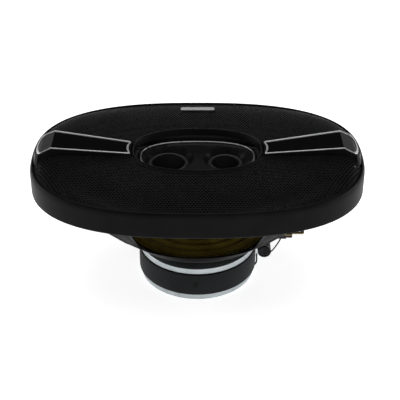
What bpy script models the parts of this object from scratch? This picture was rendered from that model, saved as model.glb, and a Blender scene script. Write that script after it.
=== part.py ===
"""Oval coaxial car speaker: woofer motor, basket, cone, two-dome tweeter pod and push-on grille.

Frame: the origin is the centre of the magnet's back face, +Z points out of the grille, +X runs
along the long axis. Helpers take millimetres and write metres.
"""

import math

import bmesh
import bpy
from mathutils import Matrix, Vector

MM = 0.001
GAP = 0.3                        # clearance kept between touching pieces

# Driving dimensions, in millimetres
ROUND_STEPS = 36                 # steps round the motor, cone and oval shells
SMALL_STEPS = 20                 # steps round the tweeters
FASTENER_STEPS = 10              # steps round screws and rivets
RIM_A, RIM_B, RIM_POWER = 124.2, 86.0, 2.57      # grille outline: half axes and oval power
RIM_TOP, SEAT_Z = 103.5, 84.0    # top of the grille rim, and the plane that seats on the panel
CUT_A, CUT_B, CUT_POWER = 110.0, 75.5, 2.2       # panel cut-out that the basket drops through
MESH_INSET = 3.6                 # the grille mesh stops this far inside the rim outline
MESH_THICK = 0.8
BLADE_STEP = 1.2                 # the blades step up past their rivets
MESH_EDGE_Z, MESH_RISE, MESH_END_RISE = 102.4, 3.8, 6.8
RING_A, RING_B, RING_TOP = 48.3, 32.0, 107.4     # crest of the grille's centre ring
ARM_ROOT_X, ARM_KINK_X, ARM_END_X, ARM_TIP_X = 49.3, 107.5, 117.0, 119.8
ARM_ROOT_WIDTH, ARM_KINK_WIDTH, ARM_END_WIDTH = 9.4, 14.1, 15.0    # half widths of the arm trim
ARM_ROOT_Z, ARM_KINK_Z, ARM_END_Z, ARM_TIP_Z = 108.5, 115.5, 110.9, 109.0
ARM_BOW, ARM_NIP = 2.2, 1.2      # the trim's ends curve in, and its corners are cut
ARM_WALL, ARM_FOOT, ARM_FLARE = 1.2, 2.2, 3.6    # moulding outside the trim: crest, foot, foot at the tip
ARM_FLOOR_Z = 103.9              # underside of the arms, just over the rim
TRIM_WIDTH, TRIM_DEPTH = 1.4, 1.0
MAGNET_R, MAGNET_LOW, MAGNET_HIGH = 46.0, 5.3, 23.7
BACK_PLATE_R, PLATE_THICK = 44.5, 5.0
TOP_PLATE_R, TOP_PLATE_LOW = 45.2, 24.0
POLE_R, POLE_BORE_R = 15.8, 5.2
GAP_HOLE_R = 17.9                # hole in the top plate, round the voice coil
BASKET_FLOOR_Z = 29.3
SHELL = 1.4                      # basket sheet thickness
SEAM_Z, SEAM = 76.9, 0.3         # where the basket's legs meet its flange
LANDING_Z = 80.7                 # the ledge that holds the surround's edge
SHELF_Z, SHELF_R = 44.6, 57.0    # the shelf that holds the spider's edge
FORMER_R = 16.3
CONE_A, CONE_B, CONE_EDGE_Z, CONE_NECK_Z = 89.0, 54.5, 80.6, 52.0
POST_R, POST_HOLLOW_R, POST_TOP = 7.5, 3.2, 84.0
POD_FLOOR_Z, POD_POWER = 86.0, 2.5
LARGE_X, LARGE_DOME_R = -21.7, 12.3
SMALL_X, SMALL_DOME_R = 21.0, 10.2
DOME_Z = 94.7                    # base of both tweeter domes
CABLE_ANGLE = 0.0                # degrees round from +X to the tweeter cable
WIRE_R = 0.65

COLOURS = {
    "satin_plastic": ((0.022, 0.022, 0.023), 0.38, 0.0),
    "gloss_plastic": ((0.006, 0.006, 0.007), 0.06, 0.0),
    "mesh_paint": ((0.018, 0.018, 0.019), 0.42, 0.3),
    "silver_trim": ((0.62, 0.62, 0.63), 0.28, 0.9),
    "badge_metal": ((0.75, 0.75, 0.76), 0.25, 0.9),
    "basket_paint": ((0.014, 0.014, 0.015), 0.45, 0.2),
    "zinc_plate": ((0.56, 0.60, 0.62), 0.30, 0.95),
    "ferrite": ((0.045, 0.046, 0.05), 0.62, 0.1),
    "spider_cloth": ((0.36, 0.24, 0.03), 0.85, 0.0),
    "rubber": ((0.012, 0.012, 0.012), 0.60, 0.0),
    "cone_paper": ((0.020, 0.020, 0.022), 0.55, 0.0),
    "coil_former": ((0.55, 0.42, 0.20), 0.50, 0.0),
    "copper": ((0.72, 0.30, 0.14), 0.30, 0.9),
    "tinned_wire": ((0.66, 0.62, 0.55), 0.35, 0.9),
    "fibre_board": ((0.05, 0.045, 0.04), 0.75, 0.0),
    "brass": ((0.70, 0.56, 0.26), 0.30, 0.9),
    "steel": ((0.55, 0.55, 0.56), 0.30, 0.95),
    "sleeve": ((0.012, 0.012, 0.013), 0.35, 0.0),
    "foil": ((0.72, 0.76, 0.76), 0.22, 1.0),
    "dome_cloth": ((0.028, 0.028, 0.030), 0.48, 0.0),
}


# ---------------------------------------------------------------- scene and materials

def clear_scene():
    """Remove every object, so that the script starts from nothing."""
    for item in list(bpy.data.objects):
        bpy.data.objects.remove(item, do_unlink=True)


def new_collection(name):
    """Make a collection in the scene."""
    collection = bpy.data.collections.new(name)
    bpy.context.scene.collection.children.link(collection)
    return collection


clear_scene()
SPEAKER = new_collection("coaxial_speaker")
CUTTERS = new_collection("cutters")


def material(finish):
    """Principled material of a named finish."""
    found = bpy.data.materials.get(finish)
    if found:
        return found
    colour, roughness, metallic = COLOURS[finish]
    made = bpy.data.materials.new(finish)
    made.use_nodes = True
    shader = made.node_tree.nodes["Principled BSDF"]
    shader.inputs["Base Color"].default_value = (*colour, 1.0)
    shader.inputs["Roughness"].default_value = roughness
    shader.inputs["Metallic"].default_value = metallic
    return made


def joint_empty(name, x, y, z):
    """Empty on a joint's axis, which the moving pieces hang from."""
    empty = bpy.data.objects.new(name, None)
    empty.empty_display_size = 10 * MM
    empty.location = (x * MM, y * MM, z * MM)
    SPEAKER.objects.link(empty)
    return empty


CONE_MOTION = joint_empty("cone_motion", 0, 0, CONE_NECK_Z)
LARGE_MOTION = joint_empty("large_dome_motion", LARGE_X, 0, DOME_Z)
SMALL_MOTION = joint_empty("small_dome_motion", SMALL_X, 0, DOME_Z)
GRILLE_MOTION = joint_empty("grille_motion", 0, 0, SEAT_Z)


def place(name, mesh, finish, parent=None, smooth=True):
    """Put a mesh into the speaker as one named piece."""
    piece = bpy.data.objects.new(name, mesh)
    SPEAKER.objects.link(piece)
    mesh.materials.append(material(finish))
    if smooth:
        mesh.shade_smooth()
        mesh.set_sharp_from_angle(angle=math.radians(35))
    if parent:
        piece.parent = parent
        piece.matrix_parent_inverse = Matrix.Translation(parent.location).inverted()
    return piece


def cutter(name, mesh):
    """Put a mesh into the cutters' collection."""
    tool = bpy.data.objects.new(name, mesh)
    CUTTERS.objects.link(tool)
    tool.hide_render = True
    tool.display_type = "WIRE"
    return tool


def combine(piece, tool, operation):
    """Add an exact Boolean modifier."""
    step = piece.modifiers.new(tool.name, "BOOLEAN")
    step.operation = operation
    step.solver = "EXACT"
    step.object = tool


def cut(piece, tool):
    """Cut one piece by a cutter."""
    combine(piece, tool, "DIFFERENCE")


# ---------------------------------------------------------------- shapes

def finish_mesh(shape, name):
    """Turn a bmesh into a mesh whose faces point outwards."""
    bmesh.ops.recalc_face_normals(shape, faces=shape.faces)
    mesh = bpy.data.meshes.new(name)
    shape.to_mesh(mesh)
    shape.free()
    return mesh


def oval_point(a, b, power, turn):
    """Point of a superellipse at a given turn, in radians."""
    c, s = math.cos(turn), math.sin(turn)
    reach = (abs(c) ** power + abs(s) ** power) ** (-1.0 / power)
    return a * c * reach, b * s * reach


def oval_ring(shape, a, b, z, power, steps):
    """Vertices of one oval at height z."""
    ring = []
    for i in range(steps):
        x, y = oval_point(a, b, power, 2 * math.pi * i / steps)
        ring.append(shape.verts.new((x * MM, y * MM, z * MM)))
    return ring


def oval_mesh(name, rings, closed, steps=ROUND_STEPS):
    """Loft through ovals (a, b, z, power). A closed loft returns to its first oval; an open one is capped."""
    shape = bmesh.new()
    loops = [oval_ring(shape, a, b, z, power, steps) for a, b, z, power in rings]
    if closed:
        loops.append(loops[0])
    for lower, upper in zip(loops, loops[1:]):
        for i in range(steps):
            j = (i + 1) % steps
            shape.faces.new((lower[i], lower[j], upper[j], upper[i]))
    if not closed:
        shape.faces.new(loops[0])
        shape.faces.new(loops[-1])
    return finish_mesh(shape, name)


def oval_shell(name, rings, thickness, finish, parent=None):
    """Open oval surface given its thickness by a Solidify modifier."""
    shape = bmesh.new()
    loops = [oval_ring(shape, a, b, z, power, ROUND_STEPS) for a, b, z, power in rings]
    for lower, upper in zip(loops, loops[1:]):
        for i in range(ROUND_STEPS):
            j = (i + 1) % ROUND_STEPS
            shape.faces.new((lower[i], lower[j], upper[j], upper[i]))
    piece = place(name, finish_mesh(shape, name), finish, parent)
    wall = piece.modifiers.new("wall", "SOLIDIFY")
    wall.thickness = thickness * MM
    wall.offset = 0.0
    return piece


def profile_mesh(name, points, closed):
    """Profile in the XZ plane for a Screw modifier."""
    shape = bmesh.new()
    verts = [shape.verts.new((r * MM, 0.0, z * MM)) for r, z in points]
    for first, second in zip(verts, verts[1:]):
        shape.edges.new((first, second))
    if closed:
        shape.edges.new((verts[-1], verts[0]))
    mesh = bpy.data.meshes.new(name)
    shape.to_mesh(mesh)
    shape.free()
    return mesh


def add_screw(piece, steps):
    """Turn a profile once round Z."""
    turn = piece.modifiers.new("turn", "SCREW")
    turn.axis = "Z"
    turn.angle = 2 * math.pi
    turn.steps = steps
    turn.render_steps = steps
    turn.use_merge_vertices = True
    turn.merge_threshold = 0.00002
    turn.use_smooth_shade = True


def turned(name, points, finish, centre=(0, 0), steps=ROUND_STEPS, parent=None):
    """Turned piece. A profile that starts and ends on the axis is solid; any other is a closed ring."""
    solid = points[0][0] == 0 and points[-1][0] == 0
    piece = place(name, profile_mesh(name, points, not solid), finish, None, smooth=False)
    piece.location = (centre[0] * MM, centre[1] * MM, 0.0)
    if parent:
        piece.parent = parent
        piece.matrix_parent_inverse = Matrix.Translation(parent.location).inverted()
    add_screw(piece, steps)
    return piece


def turned_cutter(name, points, centre=(0, 0), steps=ROUND_STEPS):
    """Turned cutter, whose profile starts and ends on the axis."""
    tool = cutter(name, profile_mesh(name, points, False))
    tool.location = (centre[0] * MM, centre[1] * MM, 0.0)
    add_screw(tool, steps)
    return tool


def drill(name, x, y, radius, low, high, steps=10):
    """Round cutter along Z."""
    return turned_cutter(name, [(0, high), (radius, high), (radius, low), (0, low)], (x, y), steps)


def curve_mesh(curve, name):
    """Mesh of a curve with its caps welded on."""
    source = bpy.data.objects.new(name, curve)
    SPEAKER.objects.link(source)
    graph = bpy.context.evaluated_depsgraph_get()
    mesh = bpy.data.meshes.new_from_object(source.evaluated_get(graph))
    bpy.data.objects.remove(source)
    shape = bmesh.new()
    shape.from_mesh(mesh)
    bmesh.ops.remove_doubles(shape, verts=shape.verts, dist=0.000005)
    bpy.data.meshes.remove(mesh)
    return finish_mesh(shape, name)


def plate_mesh(name, outline, low, high):
    """Flat plate: an outline of (x, y) points filled and given its thickness along Z."""
    curve = bpy.data.curves.new(name, "CURVE")
    curve.dimensions = "2D"
    curve.fill_mode = "BOTH"
    curve.extrude = (high - low) / 2 * MM
    spline = curve.splines.new("POLY")
    spline.points.add(len(outline) - 1)
    for point, (x, y) in zip(spline.points, outline):
        point.co = (x * MM, y * MM, 0.0, 1.0)
    spline.use_cyclic_u = True
    mesh = curve_mesh(curve, name)
    mesh.transform(Matrix.Translation((0, 0, (low + high) / 2 * MM)))
    return mesh


def upright(mesh, along_y):
    """Turn a plate drawn in (across, up) so that it stands, facing Y or X."""
    mesh.transform(Matrix.Rotation(math.radians(90), 4, "X"))
    if not along_y:
        mesh.transform(Matrix.Rotation(math.radians(90), 4, "Z"))
    return mesh


def smooth_route(points, per_span):
    """Catmull-Rom curve through hand-placed points."""
    ends = [points[0], *points, points[-1]]
    route = []
    for p0, p1, p2, p3 in zip(ends, ends[1:], ends[2:], ends[3:]):
        for i in range(per_span):
            t = i / per_span
            route.append([
                b + 0.5 * t * (c - a + t * (2 * a - 5 * b + 4 * c - d + t * (3 * b - a - 3 * c + d)))
                for a, b, c, d in zip(p0, p1, p2, p3)
            ])
    route.append(list(points[-1]))
    return route


def wire(name, points, radius, finish, per_span=3, parent=None):
    """Round wire along a smooth route."""
    curve = bpy.data.curves.new(name, "CURVE")
    curve.dimensions = "3D"
    curve.bevel_depth = radius * MM
    curve.bevel_resolution = 2
    curve.use_fill_caps = True
    route = smooth_route(points, per_span)
    spline = curve.splines.new("POLY")
    spline.points.add(len(route) - 1)
    for point, (x, y, z) in zip(spline.points, route):
        point.co = (x * MM, y * MM, z * MM, 1.0)
    curve.materials.append(material(finish))
    piece = bpy.data.objects.new(name, curve)
    SPEAKER.objects.link(piece)
    if parent:
        piece.parent = parent
        piece.matrix_parent_inverse = Matrix.Translation(parent.location).inverted()
    return piece


# ---------------------------------------------------------------- motor

def make_motor():
    """Back plate with its pole, ferrite ring and top plate."""
    groove = plate_mesh("cable_groove", [(0, -1.2), (60, -1.2), (60, 1.2), (0, 1.2)], -1.0, 1.95)
    groove.transform(Matrix.Rotation(math.radians(CABLE_ANGLE), 4, "Z"))
    pole_top = TOP_PLATE_LOW + PLATE_THICK
    yoke = turned("back_plate_and_pole", [
        (BACK_PLATE_R - 1.0, PLATE_THICK), (BACK_PLATE_R, PLATE_THICK - 1.0), (BACK_PLATE_R, 1.2),
        (BACK_PLATE_R - 1.2, 0), (POLE_BORE_R, 0), (POLE_BORE_R, pole_top),
        (POLE_R - 0.8, pole_top), (POLE_R, pole_top - 0.8), (POLE_R, PLATE_THICK),
    ], "zinc_plate")
    cut(yoke, cutter("cable_groove", groove))
    turned("magnet_ring", [
        (MAGNET_R - 1.0, MAGNET_HIGH), (MAGNET_R, MAGNET_HIGH - 1.0), (MAGNET_R, MAGNET_LOW + 1.0),
        (MAGNET_R - 1.0, MAGNET_LOW), (24.0, MAGNET_LOW), (24.0, MAGNET_HIGH),
    ], "ferrite")
    return turned("top_plate", [
        (TOP_PLATE_R - 0.6, pole_top), (TOP_PLATE_R, pole_top - 0.6), (TOP_PLATE_R, TOP_PLATE_LOW + 0.6),
        (TOP_PLATE_R - 0.6, TOP_PLATE_LOW), (GAP_HOLE_R, TOP_PLATE_LOW), (GAP_HOLE_R, pole_top),
    ], "zinc_plate")


def rounded_quad(corners, radius, steps=2):
    """Closed outline of a polygon whose corners are rounded by arcs."""
    outline = []
    count = len(corners)
    for i in range(count):
        before, here, after = (Vector(corners[k % count]) for k in (i - 1, i, i + 1))
        back, ahead = (before - here).normalized(), (after - here).normalized()
        half = back.angle(ahead) / 2
        reach = radius / math.tan(half)
        centre = here + (back + ahead).normalized() * (radius / math.sin(half))
        start, end = here + back * reach - centre, here + ahead * reach - centre
        sweep = start.angle_signed(end)
        for k in range(steps + 1):
            arm = start.copy()
            arm.rotate(Matrix.Rotation(-sweep * k / steps, 2))
            outline.append(tuple(centre + arm))
    return outline


def make_basket(top_plate):
    """Pressed basket: cup with the spider shelf, legs between four windows, and landing with flange.

    The three are one pressing in a real basket. They are apart here by a thin seam, so that the
    collision of each one can follow its own shape.
    """
    floor_top = BASKET_FLOOR_Z + SHELL + 0.2
    cup = place("basket_cup", oval_mesh("basket_cup", [
        (20.0, 20.0, BASKET_FLOOR_Z, 2.0),
        (38.6, 38.6, BASKET_FLOOR_Z, 2.0),
        (44.0, 44.0, SHELF_Z - 3.4, 2.0),
        (SHELF_R, SHELF_R, SHELF_Z - SHELL, 2.0),
        (SHELF_R + 2.5, SHELF_R + 2.5, SHELF_Z + 1.0, 2.0),
        (SHELF_R + 1.1, SHELF_R + 1.1, SHELF_Z + 1.6, 2.0),
        (SHELF_R - 1.0, SHELF_R - 1.0, SHELF_Z, 2.0),
        (42.6, 42.6, SHELF_Z - 2.2, 2.0),
        (37.4, 37.4, floor_top, 2.0),
        (20.0, 20.0, floor_top, 2.0),
    ], closed=True), "basket_paint")
    legs = place("basket_legs", oval_mesh("basket_legs", [
        (SHELF_R + 2.8, SHELF_R + 2.8, SHELF_Z + 1.3, 2.0),
        (72.5, 60.3, 50.5, 2.1),
        (88.0, 60.8, 60.0, CUT_POWER),
        (101.0, 66.5, 74.0, CUT_POWER),
        (105.2, 70.7, SEAM_Z - SEAM, CUT_POWER),
        (100.2, 65.8, SEAM_Z - SEAM, CUT_POWER),
        (99.2, 64.9, 74.4, CUT_POWER),
        (86.2, 59.3, 60.8, CUT_POWER),
        (70.8, 58.9, 51.4, 2.1),
        (SHELF_R + 1.4, SHELF_R + 1.4, SHELF_Z + 1.9, 2.0),
    ], closed=True), "basket_paint")
    outer_a, outer_b = CUT_A - 0.6, CUT_B - 0.6
    inner_a, inner_b = CUT_A - 0.6 - SHELL, CUT_B - 0.6 - SHELL
    flange = place("basket_flange", oval_mesh("basket_flange", [
        (105.6, 71.1, SEAM_Z, CUT_POWER),
        (outer_a, outer_b, 79.2, CUT_POWER),
        (outer_a, outer_b, SEAT_Z, CUT_POWER),
        (119.0, 81.0, SEAT_Z, RIM_POWER - 0.05),
        (119.0, 81.0, SEAT_Z + SHELL, RIM_POWER - 0.05),
        (inner_a, inner_b, SEAT_Z + SHELL, CUT_POWER),
        (inner_a, inner_b, LANDING_Z, CUT_POWER),
        (101.9, 67.4, LANDING_Z, CUT_POWER),
        (100.3, 65.9, SEAM_Z, CUT_POWER),
    ], closed=True), "basket_paint")
    bracket = plate_mesh("terminal_bracket", [(50, -24), (67.5, -24), (67.5, -10), (50, -10)], 42.2, 43.6)
    combine(cup, cutter("terminal_bracket", bracket), "UNION")
    windows = (
        ("front_rear_windows", [(-42.5, 49.1), (42.5, 49.1), (50.0, 75.5), (-50.0, 75.5)], True, 100),
        ("side_windows", [(-28.0, 47.6), (28.0, 47.6), (31.0, 75.5), (-31.0, 75.5)], False, 130),
    )
    for name, corners, along_y, reach in windows:
        opening = plate_mesh(name, rounded_quad(corners, 5.0), -reach, reach)
        cut(legs, cutter(name, upright(opening, along_y)))
    for i, (sx, sy) in enumerate(((1, 1), (-1, 1), (-1, -1), (1, -1))):
        cut(flange, drill(f"flange_hole_{i + 1}", 82.5 * sx, 57.5 * sy, 2.3, SEAT_Z - 3, SEAT_Z + 5))
        x, y = 21.5 * sx, 21.5 * sy
        cut(cup, drill(f"floor_hole_{i + 1}", x, y, 2.1, BASKET_FLOOR_Z - 1, floor_top + 1))
        cut(top_plate, drill(f"plate_hole_{i + 1}", x, y, 2.1, 25.5, 32))
        turned(f"basket_rivet_{i + 1}", [
            (0, floor_top + 1.6), (1.6, floor_top + 1.4), (3.0, floor_top + GAP), (1.8, floor_top + GAP),
            (1.8, 26.0), (0, 26.0),
        ], "steel", (x, y), FASTENER_STEPS)
    cut(cup, drill("board_hole", 63.0, -17.0, 1.5, 41, 44.5))


# ---------------------------------------------------------------- cone, coil and suspension

def make_moving_parts():
    """Cone, voice coil, spider and surround."""
    power = CUT_POWER
    neck_r = FORMER_R + 0.25 + GAP + 0.4
    neck, edge = (neck_r, neck_r, CONE_NECK_Z), (CONE_A - 3.0, CONE_B - 3.0, CONE_EDGE_Z)
    rings = []
    sections = 4
    for i in range(sections + 1):
        t = i / sections
        rise = t ** 0.86
        a = neck[0] + (edge[0] - neck[0]) * t
        b = neck[1] + (edge[1] - neck[1]) * t
        rings.append((a, b, neck[2] + (edge[2] - neck[2]) * rise, 2.0 + (power - 2.0) * t))
    rings.append((CONE_A, CONE_B, CONE_EDGE_Z, power))
    oval_shell("cone", rings, 0.8, "cone_paper", CONE_MOTION)
    inner, outer = FORMER_R, FORMER_R + 0.25
    turned("voice_coil_former", [(outer, 53.5), (outer, 18.0), (inner, 18.0), (inner, 53.5)],
           "coil_former", steps=24, parent=CONE_MOTION)
    coil_in = outer + GAP
    coil_out = coil_in + 0.5
    turned("voice_coil_winding", [(coil_out, 33.0), (coil_out, 20.0), (coil_in, 20.0), (coil_in, 33.0)],
           "copper", steps=24, parent=CONE_MOTION)

    # Spider: rolled corrugations between the collar at the former and the lip on the shelf
    mid, half = SHELF_Z + 1.9, 0.25
    first, last, waves, steps = 20.0, 50.0, 4, 2
    line = [(FORMER_R + 0.25 + GAP, mid)]
    for i in range(waves * steps + 1):
        r = first + (last - first) * i / (waves * steps)
        line.append((r, mid + 1.1 * math.cos(2 * math.pi * i / steps)))
    line += [(51.0, SHELF_Z + GAP + half), (55.4, SHELF_Z + GAP + half)]
    upper = [(r, z + half) for r, z in line]
    lower = [(r, z - half) for r, z in line]
    turned("spider", upper + lower[::-1], "spider_cloth", steps=24)

    # Surround: inner lip on the cone, half roll, outer lip on the basket's landing
    lip_z, roll_mid, roll_half, roll_height = 81.4, 96.0, 6.0, 7.0
    shift = CONE_A - CONE_B
    rings = [(86.4, 86.4 - shift, lip_z, power)]
    for i in range(5):
        turn = math.pi * (1 - i / 4)
        a = roll_mid + roll_half * math.cos(turn)
        rings.append((a, a - shift, lip_z + roll_height * math.sin(turn), power))
    rings.append((106.6, 106.6 - shift, lip_z, power))
    oval_shell("surround", rings, 0.7, "rubber")
    gasket = [
        (103.4, 68.9, 82.2, power), (107.4, 72.9, 82.2, power),
        (107.4, 72.9, 86.0, power), (103.4, 68.9, 86.0, power),
    ]
    place("surround_gasket", oval_mesh("surround_gasket", gasket, closed=True), "rubber")

    for name, y0, y1 in (("tinsel_lead_positive", -20.5, -15.0), ("tinsel_lead_negative", -12.5, -5.0)):
        wire(name, [
            (66.2, y0, 47.3), (64.6, y0 + 0.3, 48.5), (60.5, y0 + 1.0, 50.8), (52.0, y0 + 2.5, 52.0),
            (43.0, y1 - 1.0, 54.0), (36.0, y1, 57.0),
        ], 0.5, "tinned_wire", per_span=2)


# ---------------------------------------------------------------- terminals and wiring

def blade_mesh(name, y, half_width, low):
    """Push-on blade: a riveted foot, a step up, and a flat blade with cut corners."""
    sections = (
        (64.8, 1.6, 0.0), (66.5, half_width, 0.0), (71.2, half_width, 0.0), (72.4, half_width, BLADE_STEP),
        (79.8, half_width, BLADE_STEP), (81.0, half_width - 1.2, BLADE_STEP),
    )
    top, bottom = [], []
    for x, half, lift in sections:
        row = [(x, y - half), (x, y + half)]
        top.append([(px, py, low + lift + 0.8) for px, py in row])
        bottom.append([(px, py, low + lift) for px, py in row])
    return slab_mesh(name, top, bottom)


def make_terminals():
    """Terminal board on the basket's bracket, its blades, the crossover capacitor and the wires."""
    inner_r, steps = SHELF_R + 2.5 + 0.6, 5
    low, high = math.radians(-25.0), math.radians(-8.0)
    arc = []
    for i in range(steps + 1):
        turn = low + (high - low) * i / steps
        arc.append((inner_r * math.cos(turn), inner_r * math.sin(turn)))
    outline = arc + [(72.0, arc[-1][1]), (72.0, arc[0][1])]
    board_low, board_high = 43.6 + GAP, 45.3
    board = place("terminal_board", plate_mesh("terminal_board", outline, board_low, board_high),
                  "fibre_board", smooth=False)
    cut(board, drill("board_rivet_hole", 63.0, -17.0, 1.5, 42, 47))
    turned("board_rivet", [
        (0, 47.0), (1.4, 46.8), (2.4, board_high + GAP), (1.2, board_high + GAP), (1.2, 41.2), (0, 41.2),
    ], "steel", (63.0, -17.0), FASTENER_STEPS)
    for name, y, half_width in (("positive_terminal", -21.6, 3.15), ("negative_terminal", -12.0, 2.4)):
        blade_low, blade_high = board_high + GAP, board_high + GAP + 0.8
        blade = place(name, blade_mesh(name, y, half_width, blade_low), "brass", smooth=False)
        rivet_x = 69.0
        cut(blade, drill(f"{name}_hole", rivet_x, y, 1.0, blade_low - 1, blade_high + 1))
        cut(board, drill(f"{name}_board_hole", rivet_x, y, 1.0, board_low - 1, board_high + 1))
        turned(f"{name}_rivet", [
            (0, blade_high + 1.0), (1.2, blade_high + 0.8), (1.8, blade_high + GAP), (0.7, blade_high + GAP),
            (0.7, board_low - 0.4), (0, board_low - 0.4),
        ], "steel", (rivet_x, y), FASTENER_STEPS)

    # Crossover capacitor: it lies under the spider shelf, along Y
    half_length, radius = 10.5, 5.1
    capacitor = turned("crossover_capacitor", [
        (0, half_length), (radius - 1.0, half_length), (radius, half_length - 1.0),
        (radius, -half_length + 1.0), (radius - 1.0, -half_length), (0, -half_length),
    ], "sleeve", (0, 0), SMALL_STEPS)
    capacitor.rotation_euler = (math.radians(90), 0, 0)
    capacitor.location = (50.8 * MM, -20.8 * MM, 34.8 * MM)
    wire("crossover_wire", [
        (50.8, -31.9, 34.8), (52.2, -34.5, 35.6), (56.0, -34.6, 38.4), (60.5, -30.2, 42.0),
        (64.0, -26.2, 46.2), (65.4, -23.0, 47.3), (66.5, -21.2, 47.4),
    ], 0.5, "sleeve", per_span=3)
    turn = math.radians(CABLE_ANGLE)
    ux, uy = math.cos(turn), math.sin(turn)
    side_r, floor_z = 47.1, 0.98
    route = [
        (50.8, -9.7, 34.8), (51.4, -7.2, 34.4), (49.8, -3.0, 31.6), (side_r * ux, side_r * uy, 26.5),
        (side_r * ux, side_r * uy, 19.0), (side_r * ux, side_r * uy, 11.0), (side_r * ux, side_r * uy, 4.5),
        (45.6 * ux, 45.6 * uy, 1.3), (42.0 * ux, 42.0 * uy, floor_z), (31.0 * ux, 31.0 * uy, floor_z),
        (19.0 * ux, 19.0 * uy, floor_z), (7.5 * ux, 7.5 * uy, floor_z), (2.8 * ux, 2.8 * uy, 2.2),
        (0.6, -0.2, 6.5), (0, 0, 14.0), (0, 0, 30.0), (0, 0, 50.0), (0, 0, 70.0), (0, 0, 88.0),
    ]
    wire("tweeter_feed_cable", route, WIRE_R, "sleeve", per_span=2)
    tent = []
    for r, angle in ((46.4, -8), (48.3, -3.5), (48.6, 0), (48.3, 3.5), (46.4, 8)):
        a = math.radians(CABLE_ANGLE + angle)
        tent.append((r, a))
    outline = [(r * math.cos(a), r * math.sin(a)) for r, a in tent]
    outline += [((r + 0.35) * math.cos(a), (r + 0.35) * math.sin(a)) for r, a in reversed(tent)]
    place("foil_strip", plate_mesh("foil_strip", outline, 14.0, 26.5), "foil", smooth=False)


# ---------------------------------------------------------------- tweeter pod

def make_pod():
    """Post, pod housing, its face with two wells, the silver ring and the screws."""
    post = turned("tweeter_post", [
        (12.0, POST_TOP), (12.0, POST_TOP - 2.4), (POST_R, POST_TOP - 6.0), (POST_R, BASKET_FLOOR_Z),
        (5.0, BASKET_FLOOR_Z), (5.0, 8.0), (POST_HOLLOW_R, 8.0), (POST_HOLLOW_R, POST_TOP),
    ], "satin_plastic", steps=SMALL_STEPS)
    low = POST_TOP + GAP
    rings = [
        (3.4, 3.4, low, 2.0), (36.0, 15.5, low, POD_POWER), (39.8, 18.8, POD_FLOOR_Z + 0.2, POD_POWER),
        (42.8, 22.2, 95.0, POD_POWER), (43.3, 23.0, 97.6, POD_POWER), (41.7, 21.4, 97.6, POD_POWER),
        (41.2, 20.6, 95.0, POD_POWER), (38.2, 17.2, POD_FLOOR_Z + 1.0, POD_POWER),
        (38.0, 17.0, POD_FLOOR_Z, POD_POWER), (3.4, 3.4, POD_FLOOR_Z, 2.0),
    ]
    body = place("pod_body", oval_mesh("pod_body", rings, closed=True), "satin_plastic")
    for name, y in (("pod_screw_front", -8.0), ("pod_screw_rear", 8.0)):
        cut(body, drill(f"{name}_hole", 0.6, y, 1.5, 83, 88))
        cut(post, drill(f"{name}_thread", 0.6, y, 1.5, 77, 85))
        head = POD_FLOOR_Z + GAP
        turned(name, [
            (0, head + 1.5), (1.9, head + 1.3), (2.4, head), (1.2, head), (1.2, 79.0), (0, 79.0),
        ], "steel", (0.6, y), FASTENER_STEPS)

    rings = [
        (40.6, 19.9, 95.0, POD_POWER), (41.2, 20.9, 97.6, POD_POWER), (41.2, 20.9, 97.9, POD_POWER),
        (44.4, 26.4, 97.9, POD_POWER), (45.4, 27.5, 98.7, POD_POWER), (45.0, 27.0, 99.5, POD_POWER),
        (43.4, 23.4, 100.2, POD_POWER), (41.4, 21.4, 100.2, POD_POWER), (41.0, 21.0, 100.0, POD_POWER),
    ]
    face = place("pod_face", oval_mesh("pod_face", rings, closed=False), "satin_plastic")
    wells = (("large_well", LARGE_X, 19.3, 14.9), ("small_well", SMALL_X, 17.0, 12.9))
    for name, x, top_r, bottom_r in wells:
        well = turned_cutter(name, [
            (0, 104.0), (top_r + 3.4, 104.0), (top_r, 100.4),
            (bottom_r + 0.6, 96.0), (bottom_r, 94.0), (0, 94.0),
        ], (x, 0), SMALL_STEPS)
        cut(face, well)
    ring = [
        (42.1, 22.1, 100.5, POD_POWER), (43.0, 23.0, 100.5, POD_POWER),
        (42.8, 22.8, 101.2, POD_POWER), (42.3, 22.3, 101.2, POD_POWER),
    ]
    place("pod_trim_ring", oval_mesh("pod_trim_ring", ring, closed=True), "silver_trim")


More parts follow.
